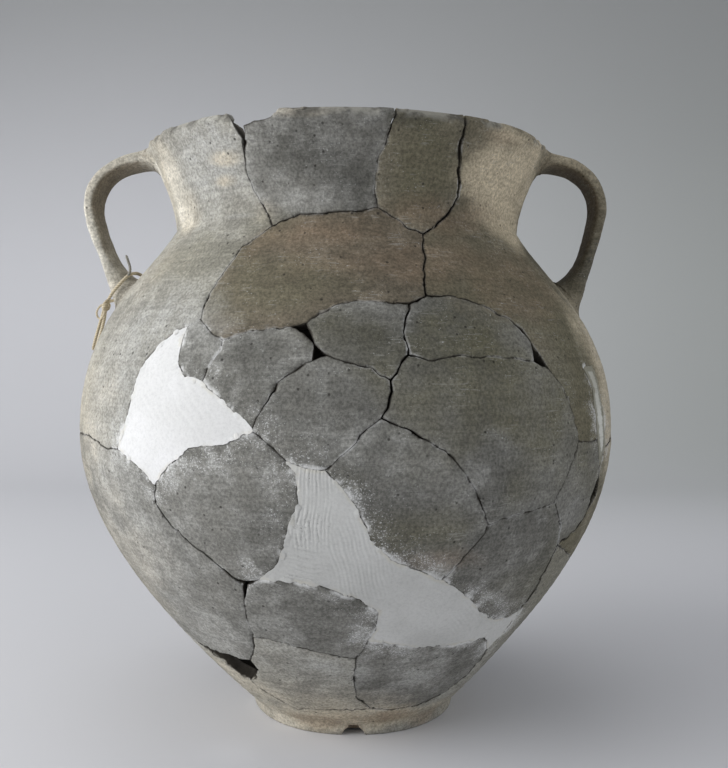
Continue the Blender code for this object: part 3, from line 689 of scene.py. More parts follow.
@dataclass
class Sherd:
    """One piece of the jar, worked up from its own solid.

    The sizes named edge are the longest edges allowed on each part of the piece. Those named depth,
    height or spread are how far its relief goes in, out or sideways, and reach is how far from a
    broken edge that happens.
    """

    node: str
    finish: Finish
    number: int
    form: JarForm
    body: Body | None = None
    front_edge: float = 1.7 * MM
    plaster_edge: float = 0.76 * MM
    back_edge: float = 3.0 * MM
    inside_edge: float = 4.6 * MM
    mouth_finer: float = 1.4 * MM
    broken_coarser: float = 0.5 * MM
    crack_share: float = 0.6
    rim_still: float = 0.004
    foot_still: float = 0.006
    least_radius: float = 0.02
    throwing_pitch: float = 0.0052
    throwing_depth: float = 0.07 * MM
    throwing_tilt: float = 0.004
    throwing_even: float = 0.12
    throwing_growth: float = 0.1
    ring_pitch: float = 0.009
    ring_depth: float = 0.35 * MM
    step_height: float = 0.22 * MM
    flake_depth: float = 0.22 * MM
    chip_depth: float = 0.8 * MM
    chip_reach: float = 1.8 * MM
    rub_depth: float = 0.18 * MM
    rub_reach: float = 1.2 * MM
    rim_chip_depth: float = 1.5 * MM
    rim_chip_band: float = 6 * MM
    plaster_depth: float = 0.15 * MM
    lap_height: float = 0.42 * MM
    lap_reach: float = 1.6 * MM
    handle_reach: float = 22 * MM
    handle_clearance: float = 3 * MM
    handle_blend: float = 12 * MM
    scar_depth: float = 0.35 * MM
    clay_spread: float = 0.17 * MM
    plaster_spread: float = 0.30 * MM
    lap_spread: float = 0.85 * MM
    edge_band: float = 20 * MM
    smooth_angle: float = 60.0
    merge_gap: float = 1e-6
    tolerance: float = 1e-5
    same_radius: float = 0.1 * MM
    snap_radius: float = 2 * MM

    @property
    def plaster(self) -> bool:
        """Whether the piece is a plaster fill."""
        return self.finish is Finish.PLASTER

    def build(self) -> bpy.types.Object:
        """Make the piece's mesh."""
        piece = self.copy_solid()
        self.sort_vertices(piece.data)
        self.divide(piece)
        self.shape(piece.data)
        bpy.ops.object.shade_smooth_by_angle(angle=math.radians(self.smooth_angle))
        return piece

    def copy_solid(self) -> bpy.types.Object:
        """A merged copy of the solid at the same place, riding on nothing."""
        select_only(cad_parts[self.node])
        bpy.ops.object.duplicate()
        piece = bpy.context.active_object
        kind = "plaster" if self.plaster else "sherd"
        piece.name = f"{self.node}_{kind}"
        piece.parent = None
        for key in list(piece.keys()):
            del piece[key]
        piece.data.materials.clear()
        bpy.ops.mesh.customdata_custom_splitnormals_clear()
        bpy.ops.object.mode_set(mode="EDIT")
        bpy.ops.mesh.select_all(action="SELECT")
        bpy.ops.mesh.remove_doubles(threshold=self.merge_gap)
        bpy.ops.object.mode_set(mode="OBJECT")
        return piece

    def sort_vertices(self, mesh: bpy.types.Mesh) -> None:
        """Mark each vertex as outside (1) or inside (0), and keep its radius.

        Args:
            mesh: the copy of the solid.
        """
        form = self.form
        _, radius, height = form.to_round(read(mesh.vertices, "co"))
        on_inside = np.abs(radius - form.inner(height)) < self.same_radius
        on_floor = (height > form.foot_height + 0.5 * MM) & (radius < form.start_radius * 0.75)
        below_lip = height < form.height - form.lip + self.same_radius
        store(mesh, "skin", np.where((on_inside & below_lip) | on_floor, 0.0, 1.0))
        store(mesh, "round", radius)

    def wanted(self, middle: Array, skins: Array) -> Array:
        """The longest edge allowed.

        Args:
            middle: the middles of the edges.
            skins: outside or inside, for both ends of each edge.

        Returns:
            One length for each edge.
        """
        outside, inside = skins.min(axis=1) > OUTSIDE, skins.max(axis=1) < INSIDE
        back = above(middle[:, 1], -0.03, 0.08)
        mouth = above(middle[:, 2], 0.25, 0.04)
        front_edge = self.plaster_edge if self.plaster else self.front_edge
        outer = front_edge + (self.back_edge - front_edge) * back
        inner = self.inside_edge - self.mouth_finer * mouth
        return np.where(outside, outer, np.where(inside, inner, outer + self.broken_coarser))

    def divide(self, piece: bpy.types.Object, rounds: int = 8) -> None:
        """Halve the long edges again and again, and lay the new vertices on the round form.

        Args:
            piece: the copy of the solid.
            rounds: how many times at most.
        """
        mesh = piece.data
        bpy.context.tool_settings.mesh_select_mode = (False, True, False)
        for _ in range(rounds):
            points = read(mesh.vertices, "co")
            ends = np.zeros(len(mesh.edges) * 2, np.int32)
            mesh.edges.foreach_get("vertices", ends)
            ends = ends.reshape(-1, 2)
            span = np.linalg.norm(points[ends[:, 0]] - points[ends[:, 1]], axis=1)
            wanted = self.wanted(points[ends].mean(axis=1), recall(mesh, "skin")[ends])
            along_crack = self.border(mesh)[ends].all(axis=1)
            long = span > np.where(along_crack, self.crack_share * wanted, wanted)
            if not long.any():
                break
            touched = np.zeros(len(points), bool)
            touched[ends[long].ravel()] = True
            mesh.polygons.foreach_set("select", np.zeros(len(mesh.polygons), bool))
            mesh.vertices.foreach_set("select", touched)
            mesh.edges.foreach_set("select", long)
            bpy.ops.object.mode_set(mode="EDIT")
            bpy.ops.mesh.subdivide(number_cuts=1, ngon=False)
            bpy.ops.mesh.select_all(action="SELECT")
            bpy.ops.mesh.quads_convert_to_tris(quad_method="SHORTEST_DIAGONAL")
            bpy.ops.object.mode_set(mode="OBJECT")
            self.lay_round(mesh)

    def lay_round(self, mesh: bpy.types.Mesh) -> None:
        """Put the vertices of both faces on the turned form, and the rest at their own radius.

        Args:
            mesh: the piece while it is being divided.
        """
        form = self.form
        skin, radius = recall(mesh, "skin"), recall(mesh, "round")
        azimuth, _, height = form.to_round(read(mesh.vertices, "co"))
        edge = form.height - form.lip
        outer, inner = form.outer(height), form.inner(height)
        wall = (height > form.foot_height) & (height <= edge + self.merge_gap)
        near_out = np.abs(radius - outer) < self.snap_radius
        near_in = np.abs(radius - inner) < self.snap_radius
        radius = np.where(wall & near_out & (skin > OUTSIDE), outer, radius)
        radius = np.where(wall & near_in & (skin < INSIDE), inner, radius)
        move_vertices(mesh, form.to_space(azimuth, radius, height))

    def border(self, mesh: bpy.types.Mesh) -> Array:
        """Which vertices lie on the broken edge of the outer face.

        Args:
            mesh: the piece, all in triangles.

        Returns:
            True or False for each vertex.
        """
        skin, height = recall(mesh, "skin"), read(mesh.vertices, "co")[:, 2]
        corners = np.zeros(len(mesh.loops), np.int32)
        mesh.loops.foreach_get("vertex_index", corners)
        faces = corners.reshape(-1, 3)
        found = np.zeros(len(skin), bool)
        found[faces[skin[faces].min(axis=1) < OUTSIDE].ravel()] = True
        return found & (skin > OUTSIDE) & (height < self.form.height - self.form.lip + self.tolerance)

    def shape(self, mesh: bpy.types.Mesh) -> None:
        """Give the smooth piece its blended handle, wandering edges, relief and masks.

        Args:
            mesh: the divided piece.
        """
        points, skin = read(mesh.vertices, "co"), recall(mesh, "skin")
        clear = np.ones(len(points))
        if self.body:
            points, clear = self.blend_handle(points, skin)
        edge_far = self.edge_distance(mesh, points)
        move_vertices(mesh, self.weather(points, skin, edge_far, clear))
        if self.body:
            self.knead(mesh, 1 - clear)
        self.spread(mesh, clear)
        self.mask(mesh, skin, edge_far, clear)

    def blend_handle(self, points: Array, skin: Array) -> tuple[Array, Array]:
        """Lay the outside near the handle on the blended surface.

        Args:
            points: the vertices.
            skin: 1 outside, 0 inside.

        Returns:
            The moved vertices, and how clear of the handle each is, from 0 on it to 1.
        """
        gap = self.body.strap.distance(points)
        near = (gap < self.handle_reach) & (skin > OUTSIDE)
        points[near] = self.body.settle(points[near])
        points[:, 2] = np.minimum(points[:, 2], self.form.height)
        free = np.where(skin > 0.5, gap - self.handle_clearance, self.handle_reach)
        return points, ease(free / self.handle_blend)

    def weather(self, points: Array, skin: Array, edge_far: Array, clear: Array) -> Array:
        """Let the cracks wander and give both faces their relief.

        Args:
            points: the vertices.
            skin: 1 outside, 0 inside.
            edge_far: how far each is from the broken edge.
            clear: how clear of the handle each is, from 0 to 1.

        Returns:
            The moved vertices.
        """
        form = self.form
        azimuth, radius, height = form.to_round(points)
        still = clear * ease((form.height - height) / self.rim_still)
        still = still * ease((height - form.foot_height) / self.foot_still)
        on_wall = form.on_outside(azimuth, height)
        along, up = [(wander.at(on_wall) + jags.at(points)) * still
                     for wander, jags in zip(CRACK_WANDER, CRACK_JAGS)]
        higher = height + up
        radius = radius + (form.outer(higher) - form.outer(height)) * clear
        azimuth, height = azimuth + along / np.maximum(radius, self.least_radius), higher
        slope = form.slope(height)
        stretch = np.sqrt(1 + slope**2)
        relief = self.relief(azimuth, height, skin, edge_far) * clear
        radius, height = radius + relief / stretch, height - relief * slope / stretch * still
        points = form.to_space(azimuth, radius, height)
        points[:, 2] = np.maximum(points[:, 2], FOOT_CHIP.arch(azimuth, radius))
        return points

    def edge_distance(self, mesh: bpy.types.Mesh, points: Array) -> Array:
        """How far the vertices of the outer face are from the piece's broken edge.

        Args:
            mesh: the divided piece.
            points: where its vertices are.

        Returns:
            One distance for each vertex, 1 m on the inside.
        """
        tree = grow_tree(points, np.flatnonzero(self.border(mesh)))
        away = np.full(len(points), 1.0)
        for index in np.flatnonzero(recall(mesh, "skin") > 0.5):
            away[index] = tree.find(points[index])[2]
        return away

    def relief(self, azimuth: Array, height: Array, skin: Array, edge_far: Array) -> Array:
        """How far the surface stands out from the smooth form.

        Args:
            azimuth: where to measure, in radians.
            height: where to measure.
            skin: 1 outside, 0 inside.
            edge_far: how far each place is from the broken edge.

        Returns:
            One rise for each place.
        """
        spot = self.form.on_outside(azimuth, height)
        side = self.plaster_relief if self.plaster else self.clay_relief
        outside = side(azimuth, height, spot, edge_far)
        rings = self.ring_depth * np.sin(math.tau * height / self.ring_pitch + RING_WANDER.at(spot))
        inside = rings + LINING_LUMPS.at(spot)
        return BODY_SWELL.at(spot) + outside * ease(skin) - inside * ease(1 - skin)

    def plaster_relief(self, azimuth: Array, height: Array, spot: Array, edge_far: Array) -> Array:
        """The spatula ridges of a fill, and its raised edge where it laps over the clay.

        Args:
            azimuth: where to measure, in radians.
            height: where to measure.
            spot: the same places in space, on the smooth form.
            edge_far: how far each place is from the fill's edge.

        Returns:
            One rise for each place.
        """
        wander = STROKE_WANDER.at(spot)
        ridges = sum(stroke.relief(azimuth, height, wander, self.form) for stroke in STROKES)
        raised = self.lap_height * self.lap(spot) * fade(edge_far, self.lap_reach)
        return ridges + PLASTER_LUMPS.at(spot) - self.plaster_depth + raised

    def clay_relief(self, azimuth: Array, height: Array, spot: Array, edge_far: Array) -> Array:
        """Throwing marks, rough grain, flaked skin, chipped and rubbed edges.

        Args:
            azimuth: where to measure, in radians.
            height: where to measure.
            spot: the same places in space, on the smooth form.
            edge_far: how far each place is from the broken edge.

        Returns:
            One rise for each place.
        """
        tilt = self.throwing_tilt * np.sin(azimuth + 0.7)
        ripple = np.sin(math.tau * (height + tilt) / self.throwing_pitch + THROWING_WANDER.at(spot))
        stronger_low = ease((self.throwing_even - height) / self.throwing_growth)
        throwing = self.throwing_depth * ripple * (0.6 + 0.8 * stronger_low)
        flakes = self.flake_depth * above(FLAKES.at(spot), 0.55, 0.12) * ease(0.5 + WORN_AREAS.at(spot))
        chips = self.chip_depth * above(EDGE_CHIPS.at(spot), 0.10, 0.4) * fade(edge_far, self.chip_reach)
        rub = self.rub_depth * fade(edge_far, self.rub_reach)
        step = self.step_height * math.sin(2.4 * self.number + 1.0)
        lost = flakes + chips + rub + self.rim_chip_depth * self.rim_chips(spot, height)
        return step + CLAY_GRAIN.at(spot) + throwing - lost

    def rim_chips(self, points: Array, height: Array) -> Array:
        """Where flakes are lost from the outer edge of the rim.

        Args:
            points: places on the smooth outside.
            height: their heights.

        Returns:
            One value for each place, from 0 to 1.
        """
        high = above(height, self.form.height - self.rim_chip_band, 4 * MM)
        noise = RIM_CHIPS.at(points)
        worn = RIM_WEAR.mask(self.form.to_round(points)[0], height, 0.5 * noise)
        return high * ease((noise + 0.05 + 0.35 * worn) / 0.3)

    def lap(self, points: Array) -> Array:
        """Where plaster is smeared over the edge of the clay, from 0 to 1."""
        return ease(0.30 + PLASTER_LAPS.at(points))

    def knead(self, mesh: bpy.types.Mesh, strength: Array) -> None:
        """The uneven, hand-smoothed and worn surface of a handle.

        Args:
            mesh: the piece with the handle.
            strength: how much each vertex belongs to the handle, from 0 to 1.
        """
        points = read(mesh.vertices, "co")
        normals = read(mesh.vertex_normals, "vector")
        scars = self.scar_depth * above(HANDLE_SCARS.at(points), 0.5, 0.15)
        lift = (HANDLE_LUMPS.at(points) + HANDLE_GRAIN.at(points) - scars) * strength
        points = points + normals * lift[:, None]
        points[:, 2] = np.minimum(points[:, 2], self.form.height)
        move_vertices(mesh, points)

    def spread(self, mesh: bpy.types.Mesh, clear: Array) -> None:
        """Press the outer edge towards its neighbours: plaster all the way, clay here and there.

        Args:
            mesh: the shaped piece.
            clear: how clear of the handle each vertex is, from 0 to 1.
        """
        points = read(mesh.vertices, "co")
        normals = read(mesh.vertex_normals, "vector")
        azimuth, _, height = self.form.to_round(points)
        away = self.form.outward(azimuth, height)
        sideways = normals - away * (normals * away).sum(axis=1)[:, None]
        size = np.linalg.norm(sideways, axis=1)
        if self.plaster:
            lap = self.lap(self.form.on_outside(azimuth, height))
            reach = self.plaster_spread + self.lap_spread * lap
        else:
            stray = TIGHT_WANDER.at(points)
            closed = np.max([patch.mask(azimuth, height, stray) for patch in TIGHT], axis=0)
            tight = np.clip(0.4 + CLOSED_CRACKS.at(points), 0, 1)
            reach = self.clay_spread * np.maximum(tight, closed) * clear
        on_break = (size > 0.3) & (np.abs(normals[:, 2]) < 0.97)
        push = np.where(on_break, reach / np.maximum(size, 1e-6), 0.0)
        move_vertices(mesh, np.clip(points + sideways * push[:, None], *CAD_BOX))

    def mask(self, mesh: bpy.types.Mesh, skin: Array, edge_far: Array, clear: Array) -> None:
        """Keep the masks that the materials read.

        Args:
            mesh: the finished piece.
            skin: 1 outside, 0 inside.
            edge_far: how far each vertex is from the broken edge.
            clear: how clear of the handle each vertex is, from 0 to 1.
        """
        form = self.form
        points, normals = read(mesh.vertices, "co"), read(mesh.vertex_normals, "vector")
        azimuth, radius, height = form.to_round(points)
        on_wall = form.on_outside(azimuth, height)
        stray = PATCH_WANDER.at(on_wall)
        for name, patches in PATCHES.items():
            layers = [patch.mask(azimuth, height, stray) for patch in patches]
            store(mesh, name, np.clip(np.max(layers, axis=0), 0, 1))
        facing = np.abs((normals * form.outward(azimuth, height)).sum(axis=1))
        near_lip = height > form.height - form.lip - self.tolerance
        whole = near_lip | (height < form.foot_height + 1.5 * MM) | (clear < 0.999)
        inward = np.column_stack([-np.sin(azimuth), np.cos(azimuth)])
        under = (normals[:, :2] * inward).sum(axis=1) - 0.6 * normals[:, 2]
        masks = {
            # Broken faces, which the clay paints near black as shade
            "broken": np.where(whole, 0.0, ease((0.72 - facing) / 0.2)),
            "chipped": self.rim_chips(on_wall, height) * (skin > 0.5) * ease(clear),
            "inside": ease(1 - skin * 1.6) * (radius < form.outer(height) - 3 * MM),
            "edge": np.clip(edge_far / self.edge_band, 0, 1),
            # Inner face and underside of the handles, which the clay paints with shade
            "under": ease(under) * ease(((1 - clear) - 0.5) * 2),
            "tone": np.full(len(points), 0.5 + 0.5 * math.sin(5.1 * self.number + 0.4)),
        }
        for name, values in masks.items():
            store(mesh, name, values)
        for name in ("skin", "round"):
            mesh.attributes.remove(mesh.attributes[name])


def mark_near_plaster(sherds: Sequence[bpy.types.Object], fills: Sequence[bpy.types.Object],
                      reach: float = 0.030, top: float = 0.27) -> None:
    """Keep on each sherd how close every vertex is to a plaster fill.

    Args:
        sherds: the clay pieces.
        fills: the plaster pieces.
        reach: how far from the plaster the mask goes.
        top: the height that it stays under.
    """
    points = np.concatenate([read(fill.data.vertices, "co")[::3] for fill in fills])
    tree = grow_tree(points, range(len(points)))
    for sherd in sherds:
        places = read(sherd.data.vertices, "co")
        near = np.zeros(len(places))
        for index in np.flatnonzero((places[:, 1] < 0.0) & (places[:, 2] < top)):
            near[index] = max(0.0, 1 - tree.find(places[index])[2] / reach)
        store(sherd.data, "near_plaster", near)


class Wiring:
    """Adds nodes to one shader tree and joins them."""

    def __init__(self, tree: bpy.types.NodeTree) -> None:
        """Work on one tree."""
        self.tree = tree

    def node(self, kind: str, settings: dict[str, object] | None = None, **inputs: object) -> bpy.types.Node:
        """Add a node.

        Args:
            kind: the node's type.
            settings: its own settings.
            inputs: a value or another node's output for each input, with underscores for spaces.

        Returns:
            The node.
        """
        made = self.tree.nodes.new(kind)
        for name, value in (settings or {}).items():
            setattr(made, name, value)
        for name, value in inputs.items():
            self.join(made.inputs[name.replace("_", " ")], value)
        return made

    def join(self, socket: Socket, value: object) -> None:
        """Give an input its value or its link.

        Args:
            socket: the input.
            value: a plain value or another node's output.
        """
        if isinstance(value, bpy.types.NodeSocket):
            self.tree.links.new(value, socket)
        else:
            socket.default_value = value

    def mask(self, name: str) -> Socket:
        """A named attribute of the mesh."""
        return self.node("ShaderNodeAttribute", {"attribute_name": name}).outputs["Fac"]

    def place(self) -> Socket:
        """The place on the object."""
        return self.node("ShaderNodeTexCoord").outputs["Object"]

    def math(self, operation: str, *terms: Socket | float) -> Socket:
        """Arithmetic, kept between 0 and 1.

        Args:
            operation: which arithmetic.
            terms: the two or three values that it takes.

        Returns:
            The result.
        """
        made = self.node("ShaderNodeMath", {"operation": operation, "use_clamp": True})
        for socket, term in zip(made.inputs, terms):
            self.join(socket, term)
        return made.outputs[0]

    def times(self, first: Socket | float, second: Socket | float) -> Socket:
        """Two values multiplied."""
        return self.math("MULTIPLY", first, second)

    def band(self, value: Socket, low: float, high: float, start: float = 0.0, end: float = 1.0) -> Socket:
        """A value eased between two levels.

        Args:
            value: what is read.
            low: where the result is start.
            high: where the result is end.
            start: the result at low and under.
            end: the result at high and above.

        Returns:
            The eased value.
        """
        made = self.node("ShaderNodeMapRange", {"interpolation_type": "SMOOTHSTEP"})
        for name, number in (("Value", value), ("From Min", low), ("From Max", high),
                             ("To Min", start), ("To Max", end)):
            self.join(made.inputs[name], number)
        return made.outputs["Result"]

    def mix(self, factor: Socket | float, first: Socket | Colour, second: Socket | Colour,
            way: str = "MIX") -> Socket:
        """Two colours mixed.

        Args:
            factor: how much of the second.
            first: the colour at 0.
            second: the colour at 1.
            way: how they are mixed.

        Returns:
            The mixed colour.
        """
        made = self.node("ShaderNodeMix", {"data_type": "RGBA", "blend_type": way})
        self.join(made.inputs[0], factor)
        for socket, colour in ((made.inputs[6], first), (made.inputs[7], second)):
            self.join(socket, (*colour, 1.0) if isinstance(colour, tuple) else colour)
        return made.outputs[2]

    def shade(self, colour: Socket, strength: Socket) -> Socket:
        """A colour made darker or lighter by a value round 1."""
        return self.mix(1.0, colour, strength, "MULTIPLY")

    def noise(self, place: Socket, scale: float, detail: float = 3.0, roughness: float = 0.55) -> Socket:
        """A noise value that changes over the surface."""
        return self.node("ShaderNodeTexNoise", Vector=place, Scale=scale, Detail=detail,
                         Roughness=roughness).outputs["Fac"]

    def dress(self, shader: bpy.types.Node, colour: Socket, height: Socket, strength: float,
              distance: float) -> None:
        """Give a shader its colour and bump.

        Args:
            shader: the material's shader.
            colour: its colour.
            height: the height that its bump is read from.
            strength: how strong the bump is.
            distance: how high it stands at most.
        """
        self.join(shader.inputs["Base Color"], colour)
        bump = self.node("ShaderNodeBump", Strength=strength, Distance=distance, Height=height)
        self.join(shader.inputs["Normal"], bump.outputs["Normal"])


def new_material(name: str, **values: float) -> tuple[bpy.types.Material, Wiring, bpy.types.Node]:
    """A new material.

    Args:
        name: its name.
        values: plain inputs of its shader, with underscores for spaces.

    Returns:
        The material, the wiring of its tree, and its shader.
    """
    material = bpy.data.materials.new(name)
    material.use_nodes = True
    shader = material.node_tree.nodes["Principled BSDF"]
    for field, value in values.items():
        shader.inputs[field.replace("_", " ")].default_value = value
    return material, Wiring(material.node_tree), shader


@dataclass(frozen=True)
class Grain:
    """The grain that clay and plaster share, as masks and a height. Scales count features a metre."""

    mottle: float = 20.0
    cloud: float = 75.0
    fine: float = 640.0
    speck: float = 1250.0
    pit: float = 210.0
    streak: Place = (26.0, 26.0, 420.0)
    brush: Place = (110.0, 110.0, 1300.0)
    brush_turn: Place = (0.06, -0.10, 0.0)
    base_height: float = 0.25
    fine_height: float = 0.45
    pit_depth: float = 0.45
    streak_height: float = 0.22
    scratch_depth: float = 0.06

    def build(self) -> bpy.types.NodeTree:
        """Make the node group."""
        group = bpy.data.node_groups.new("fired clay grain", "ShaderNodeTree")
        w = Wiring(group)
        place = w.place()
        streaked = w.node("ShaderNodeMapping", Vector=place, Scale=self.streak).outputs["Vector"]
        brushed = w.node("ShaderNodeMapping", Vector=place, Rotation=self.brush_turn, Scale=self.brush)
        fine = w.noise(place, self.fine, 4.0, 0.74)
        streaks = w.noise(streaked, 1.0, 4.0, 0.6)
        scratch = w.band(w.noise(brushed.outputs["Vector"], 1.0, 2.0, 0.5), 0.60, 0.68)
        pits = self.pits(w, place)
        height = w.math("MULTIPLY_ADD", fine, self.fine_height, self.base_height)
        height = w.math("SUBTRACT", height, w.times(pits, self.pit_depth))
        height = w.math("ADD", height, w.times(streaks, self.streak_height))
        height = w.math("SUBTRACT", height, w.times(scratch, self.scratch_depth))
        masks = {
            "Mottle": w.noise(place, self.mottle, 4.0, 0.55),
            "Cloud": w.noise(place, self.cloud, 5.0, 0.62),
            "Fine": fine,
            "Specks": w.noise(place, self.speck, 2.0, 0.6),
            "Pits": pits,
            "Streaks": streaks,
            "Scratch": scratch,
            "Height": height,
        }
        for name in masks:
            group.interface.new_socket(name, in_out="OUTPUT", socket_type="NodeSocketFloat")
        w.node("NodeGroupOutput", **masks)
        return group

    def pits(self, w: Wiring, place: Socket) -> Socket:
        """Small round hollows, in about one cell of five.

        Args:
            w: the group's wiring.
            place: the place on the object.

        Returns:
            A mask of the hollows.
        """
        cells = w.node("ShaderNodeTexVoronoi", Vector=place, Scale=self.pit)
        size = w.node("ShaderNodeSeparateColor", Color=cells.outputs["Color"]).outputs["Red"]
        hollow = w.band(cells.outputs["Distance"], 0.08, 0.20, 1.0, 0.0)
        return w.times(hollow, w.band(size, 0.70, 0.86))


def read_grain(w: Wiring, grain: bpy.types.NodeTree) -> dict[str, Socket]:
    """The masks of the grain group, placed in one material.

    Args:
        w: the material's wiring.
        grain: the group.

    Returns:
        The group's outputs by name.
    """
    return {socket.name: socket for socket in w.node("ShaderNodeGroup", {"node_tree": grain}).outputs}


@dataclass(frozen=True)
class ClayFinish:
    """Fired clay, with the colours that smoke, fire and dust gave it, and painted shade under the handles,
    along the cracks, in the pits, on the broken faces and inside the jar.
    """

    name: str
    ground: Colour
    deep: Colour
    light: Colour
    buff: Colour = (0.53, 0.475, 0.375)
    tan: Colour = (0.670, 0.580, 0.425)
    cream: Colour = (0.70, 0.665, 0.58)
    red: Colour = (0.245, 0.180, 0.122)
    olive: Colour = (0.148, 0.138, 0.088)
    soot: Colour = (0.060, 0.059, 0.050)
    ash: Colour = (0.430, 0.427, 0.400)
    chalk: Colour = (0.66, 0.66, 0.65)
    plaster: Colour = (0.74, 0.74, 0.73)
    # Painted shade: the brownish dark on the inner face and underside of the handles
    shade: Colour = (0.135, 0.105, 0.070)
    # Painted shade in the small hollows of the grain
    pit: Colour = (0.02, 0.018, 0.015)
    # Painted shade: the thin dark line along the crack edges, and the near-black broken faces
    crack_shade: Colour = (0.03, 0.027, 0.022)
    broken_face_shade: Colour = (0.038, 0.033, 0.026)
    flake_dark: Colour = (0.105, 0.100, 0.088)
    flake_light: Colour = (0.33, 0.32, 0.28)
    # Painted shade inside the jar: the wall, the floor, and the lighter colour at the mouth where light
    # comes in
    painted_shade_lining: Colour = (0.040, 0.036, 0.030)
    floor: Colour = (0.050, 0.044, 0.036)
    mouth: Colour = (0.165, 0.150, 0.125)
    patch_strength: float = 0.92
    under_strength: float = 0.75
    haze_strength: float = 0.26

    def build(self, grain: bpy.types.NodeTree) -> bpy.types.Material:
        """Make the material.

        Args:
            grain: the grain group.

        Returns:
            The material.
        """
        material, w, shader = new_material(self.name, Roughness=0.9, Specular_IOR_Level=0.25)
        masks = read_grain(w, grain)
        colour = self.ground_colour(w, masks)
        for layer in (self.patches, self.wear, self.plaster_dust, self.edges, self.inside):
            colour = layer(w, masks, colour)
        w.dress(shader, colour, masks["Height"], 0.6, 1.0 * MM)
        return material

    def ground_colour(self, w: Wiring, masks: dict[str, Socket]) -> Socket:
        """The clay's own colour, uneven in broad and small clouds.

        Args:
            w: the material's wiring.
            masks: the grain's masks.

        Returns:
            The colour.
        """
        colour = w.mix(w.band(masks["Mottle"], 0.34, 0.66), self.deep, self.ground)
        colour = w.mix(w.times(w.band(masks["Cloud"], 0.40, 0.70), 0.75), colour, self.light)
        return w.mix(w.times(w.mask("tone"), 0.10), colour, self.ash)

    def patches(self, w: Wiring, masks: dict[str, Socket], colour: Socket) -> Socket:
        """The areas of other colours, broken up at their edges, and painted shade on the handles' inner face
        and underside.

        Args:
            w: the material's wiring.
            masks: the grain's masks.
            colour: the colour under them.

        Returns:
            The colour with them.
        """
        for name, tint, least in (("dark", self.soot, 0.60), ("pale", self.ash, 0.35),
                                  ("olive", self.olive, 0.55), ("tan", self.tan, 0.82),
                                  ("buff", self.buff, 0.40), ("cream", self.cream, 0.55),
                                  ("red", self.red, 0.45)):
            share = w.times(w.mask(name), w.band(masks["Cloud"], 0.30, 0.64, least, 1.0))
            colour = w.mix(w.times(share, self.patch_strength), colour, tint)
        rich = w.times(w.band(w.mask("buff"), 0.62, 1.0), w.band(masks["Mottle"], 0.46, 0.62))
        colour = w.mix(rich, colour, self.cream)
        # Painted shade on the inner face and underside of the handles
        return w.mix(w.times(w.mask("under"), self.under_strength), colour, self.shade)

    def wear(self, w: Wiring, masks: dict[str, Socket], colour: Socket) -> Socket:
        """Throwing marks, rough grain, brush scratches, white specks, and painted shade in the pits.

        Args:
            w: the material's wiring.
            masks: the grain's masks.
            colour: the colour under them.

        Returns:
            The colour with them.
        """
        colour = w.shade(colour, w.band(masks["Streaks"], 0.30, 0.70, 0.88, 1.10))
        colour = w.shade(colour, w.band(masks["Fine"], 0.32, 0.70, 0.66, 1.32))
        scratched = w.times(masks["Scratch"], w.band(masks["Cloud"], 0.45, 0.62, 0.0, 0.34))
        colour = w.mix(scratched, colour, self.ash)
        speck = w.times(w.band(masks["Specks"], 0.665, 0.71), w.band(masks["Cloud"], 0.45, 0.60))
        colour = w.mix(w.times(speck, 0.75), colour, self.chalk)
        # Painted shade: the small hollows made near black
        return w.mix(w.times(masks["Pits"], 0.75), colour, self.pit)

    def plaster_dust(self, w: Wiring, masks: dict[str, Socket], colour: Socket) -> Socket:
        """Fine white specks, a thin haze and smears round the plaster and on the dusty places.

        Args:
            w: the material's wiring.
            masks: the grain's masks.
            colour: the colour under them.

        Returns:
            The colour with them.
        """
        near, cloud = w.mask("near_plaster"), masks["Cloud"]
        bloom = w.math("MAXIMUM", w.band(near, 0.15, 1.0), w.times(w.mask("pale"), 0.55))
        bloom = w.times(bloom, w.band(masks["Mottle"], 0.36, 0.58, 0.35, 1.0))
        value = w.math("ADD", masks["Specks"], w.times(bloom, 0.10))
        value = w.math("ADD", value, w.band(cloud, 0.40, 0.65, -0.05, 0.05))
        flecks = w.times(w.band(value, 0.65, 0.70), w.band(bloom, 0.10, 0.8))
        colour = w.mix(w.times(flecks, 0.75), colour, self.chalk)
        haze = w.times(w.band(bloom, 0.3, 1.0), w.band(cloud, 0.42, 0.66))
        colour = w.mix(w.times(haze, self.haze_strength), colour, self.chalk)
        smear = w.times(w.band(near, 0.90, 0.985), w.band(cloud, 0.48, 0.60))
        return w.mix(w.times(smear, 0.8), colour, self.plaster)

    def edges(self, w: Wiring, masks: dict[str, Socket], colour: Socket) -> Socket:
        """Dust along the cracks, painted shade as a thin dark line along the crack edges and on the broken
        faces, and the flaked rim.

        Args:
            w: the material's wiring.
            masks: the grain's masks.
            colour: the colour under them.

        Returns:
            The colour with them.
        """
        edge, cloud = w.mask("edge"), masks["Cloud"]
        dusty = w.math("MAXIMUM", w.times(w.mask("dusty"), 0.95), 0.30)
        dust = w.times(w.times(w.band(edge, 0.0, 0.06, 1.0, 0.0), dusty), w.band(cloud, 0.46, 0.58))
        colour = w.mix(dust, colour, self.chalk)
        # Painted shade: a thin dark line along the crack edges, uneven through the clouds
        crack_shade = w.times(w.band(edge, 0.003, 0.030, 1.0, 0.0), w.band(cloud, 0.40, 0.56, 0.85, 0.15))
        colour = w.mix(crack_shade, colour, self.crack_shade)
        # Painted shade on the broken faces
        colour = w.mix(w.mask("broken"), colour, self.broken_face_shade)
        flaked = w.mix(w.band(cloud, 0.42, 0.58), self.flake_dark, self.flake_light)
        return w.mix(w.times(w.mask("chipped"), 0.75), colour, flaked)

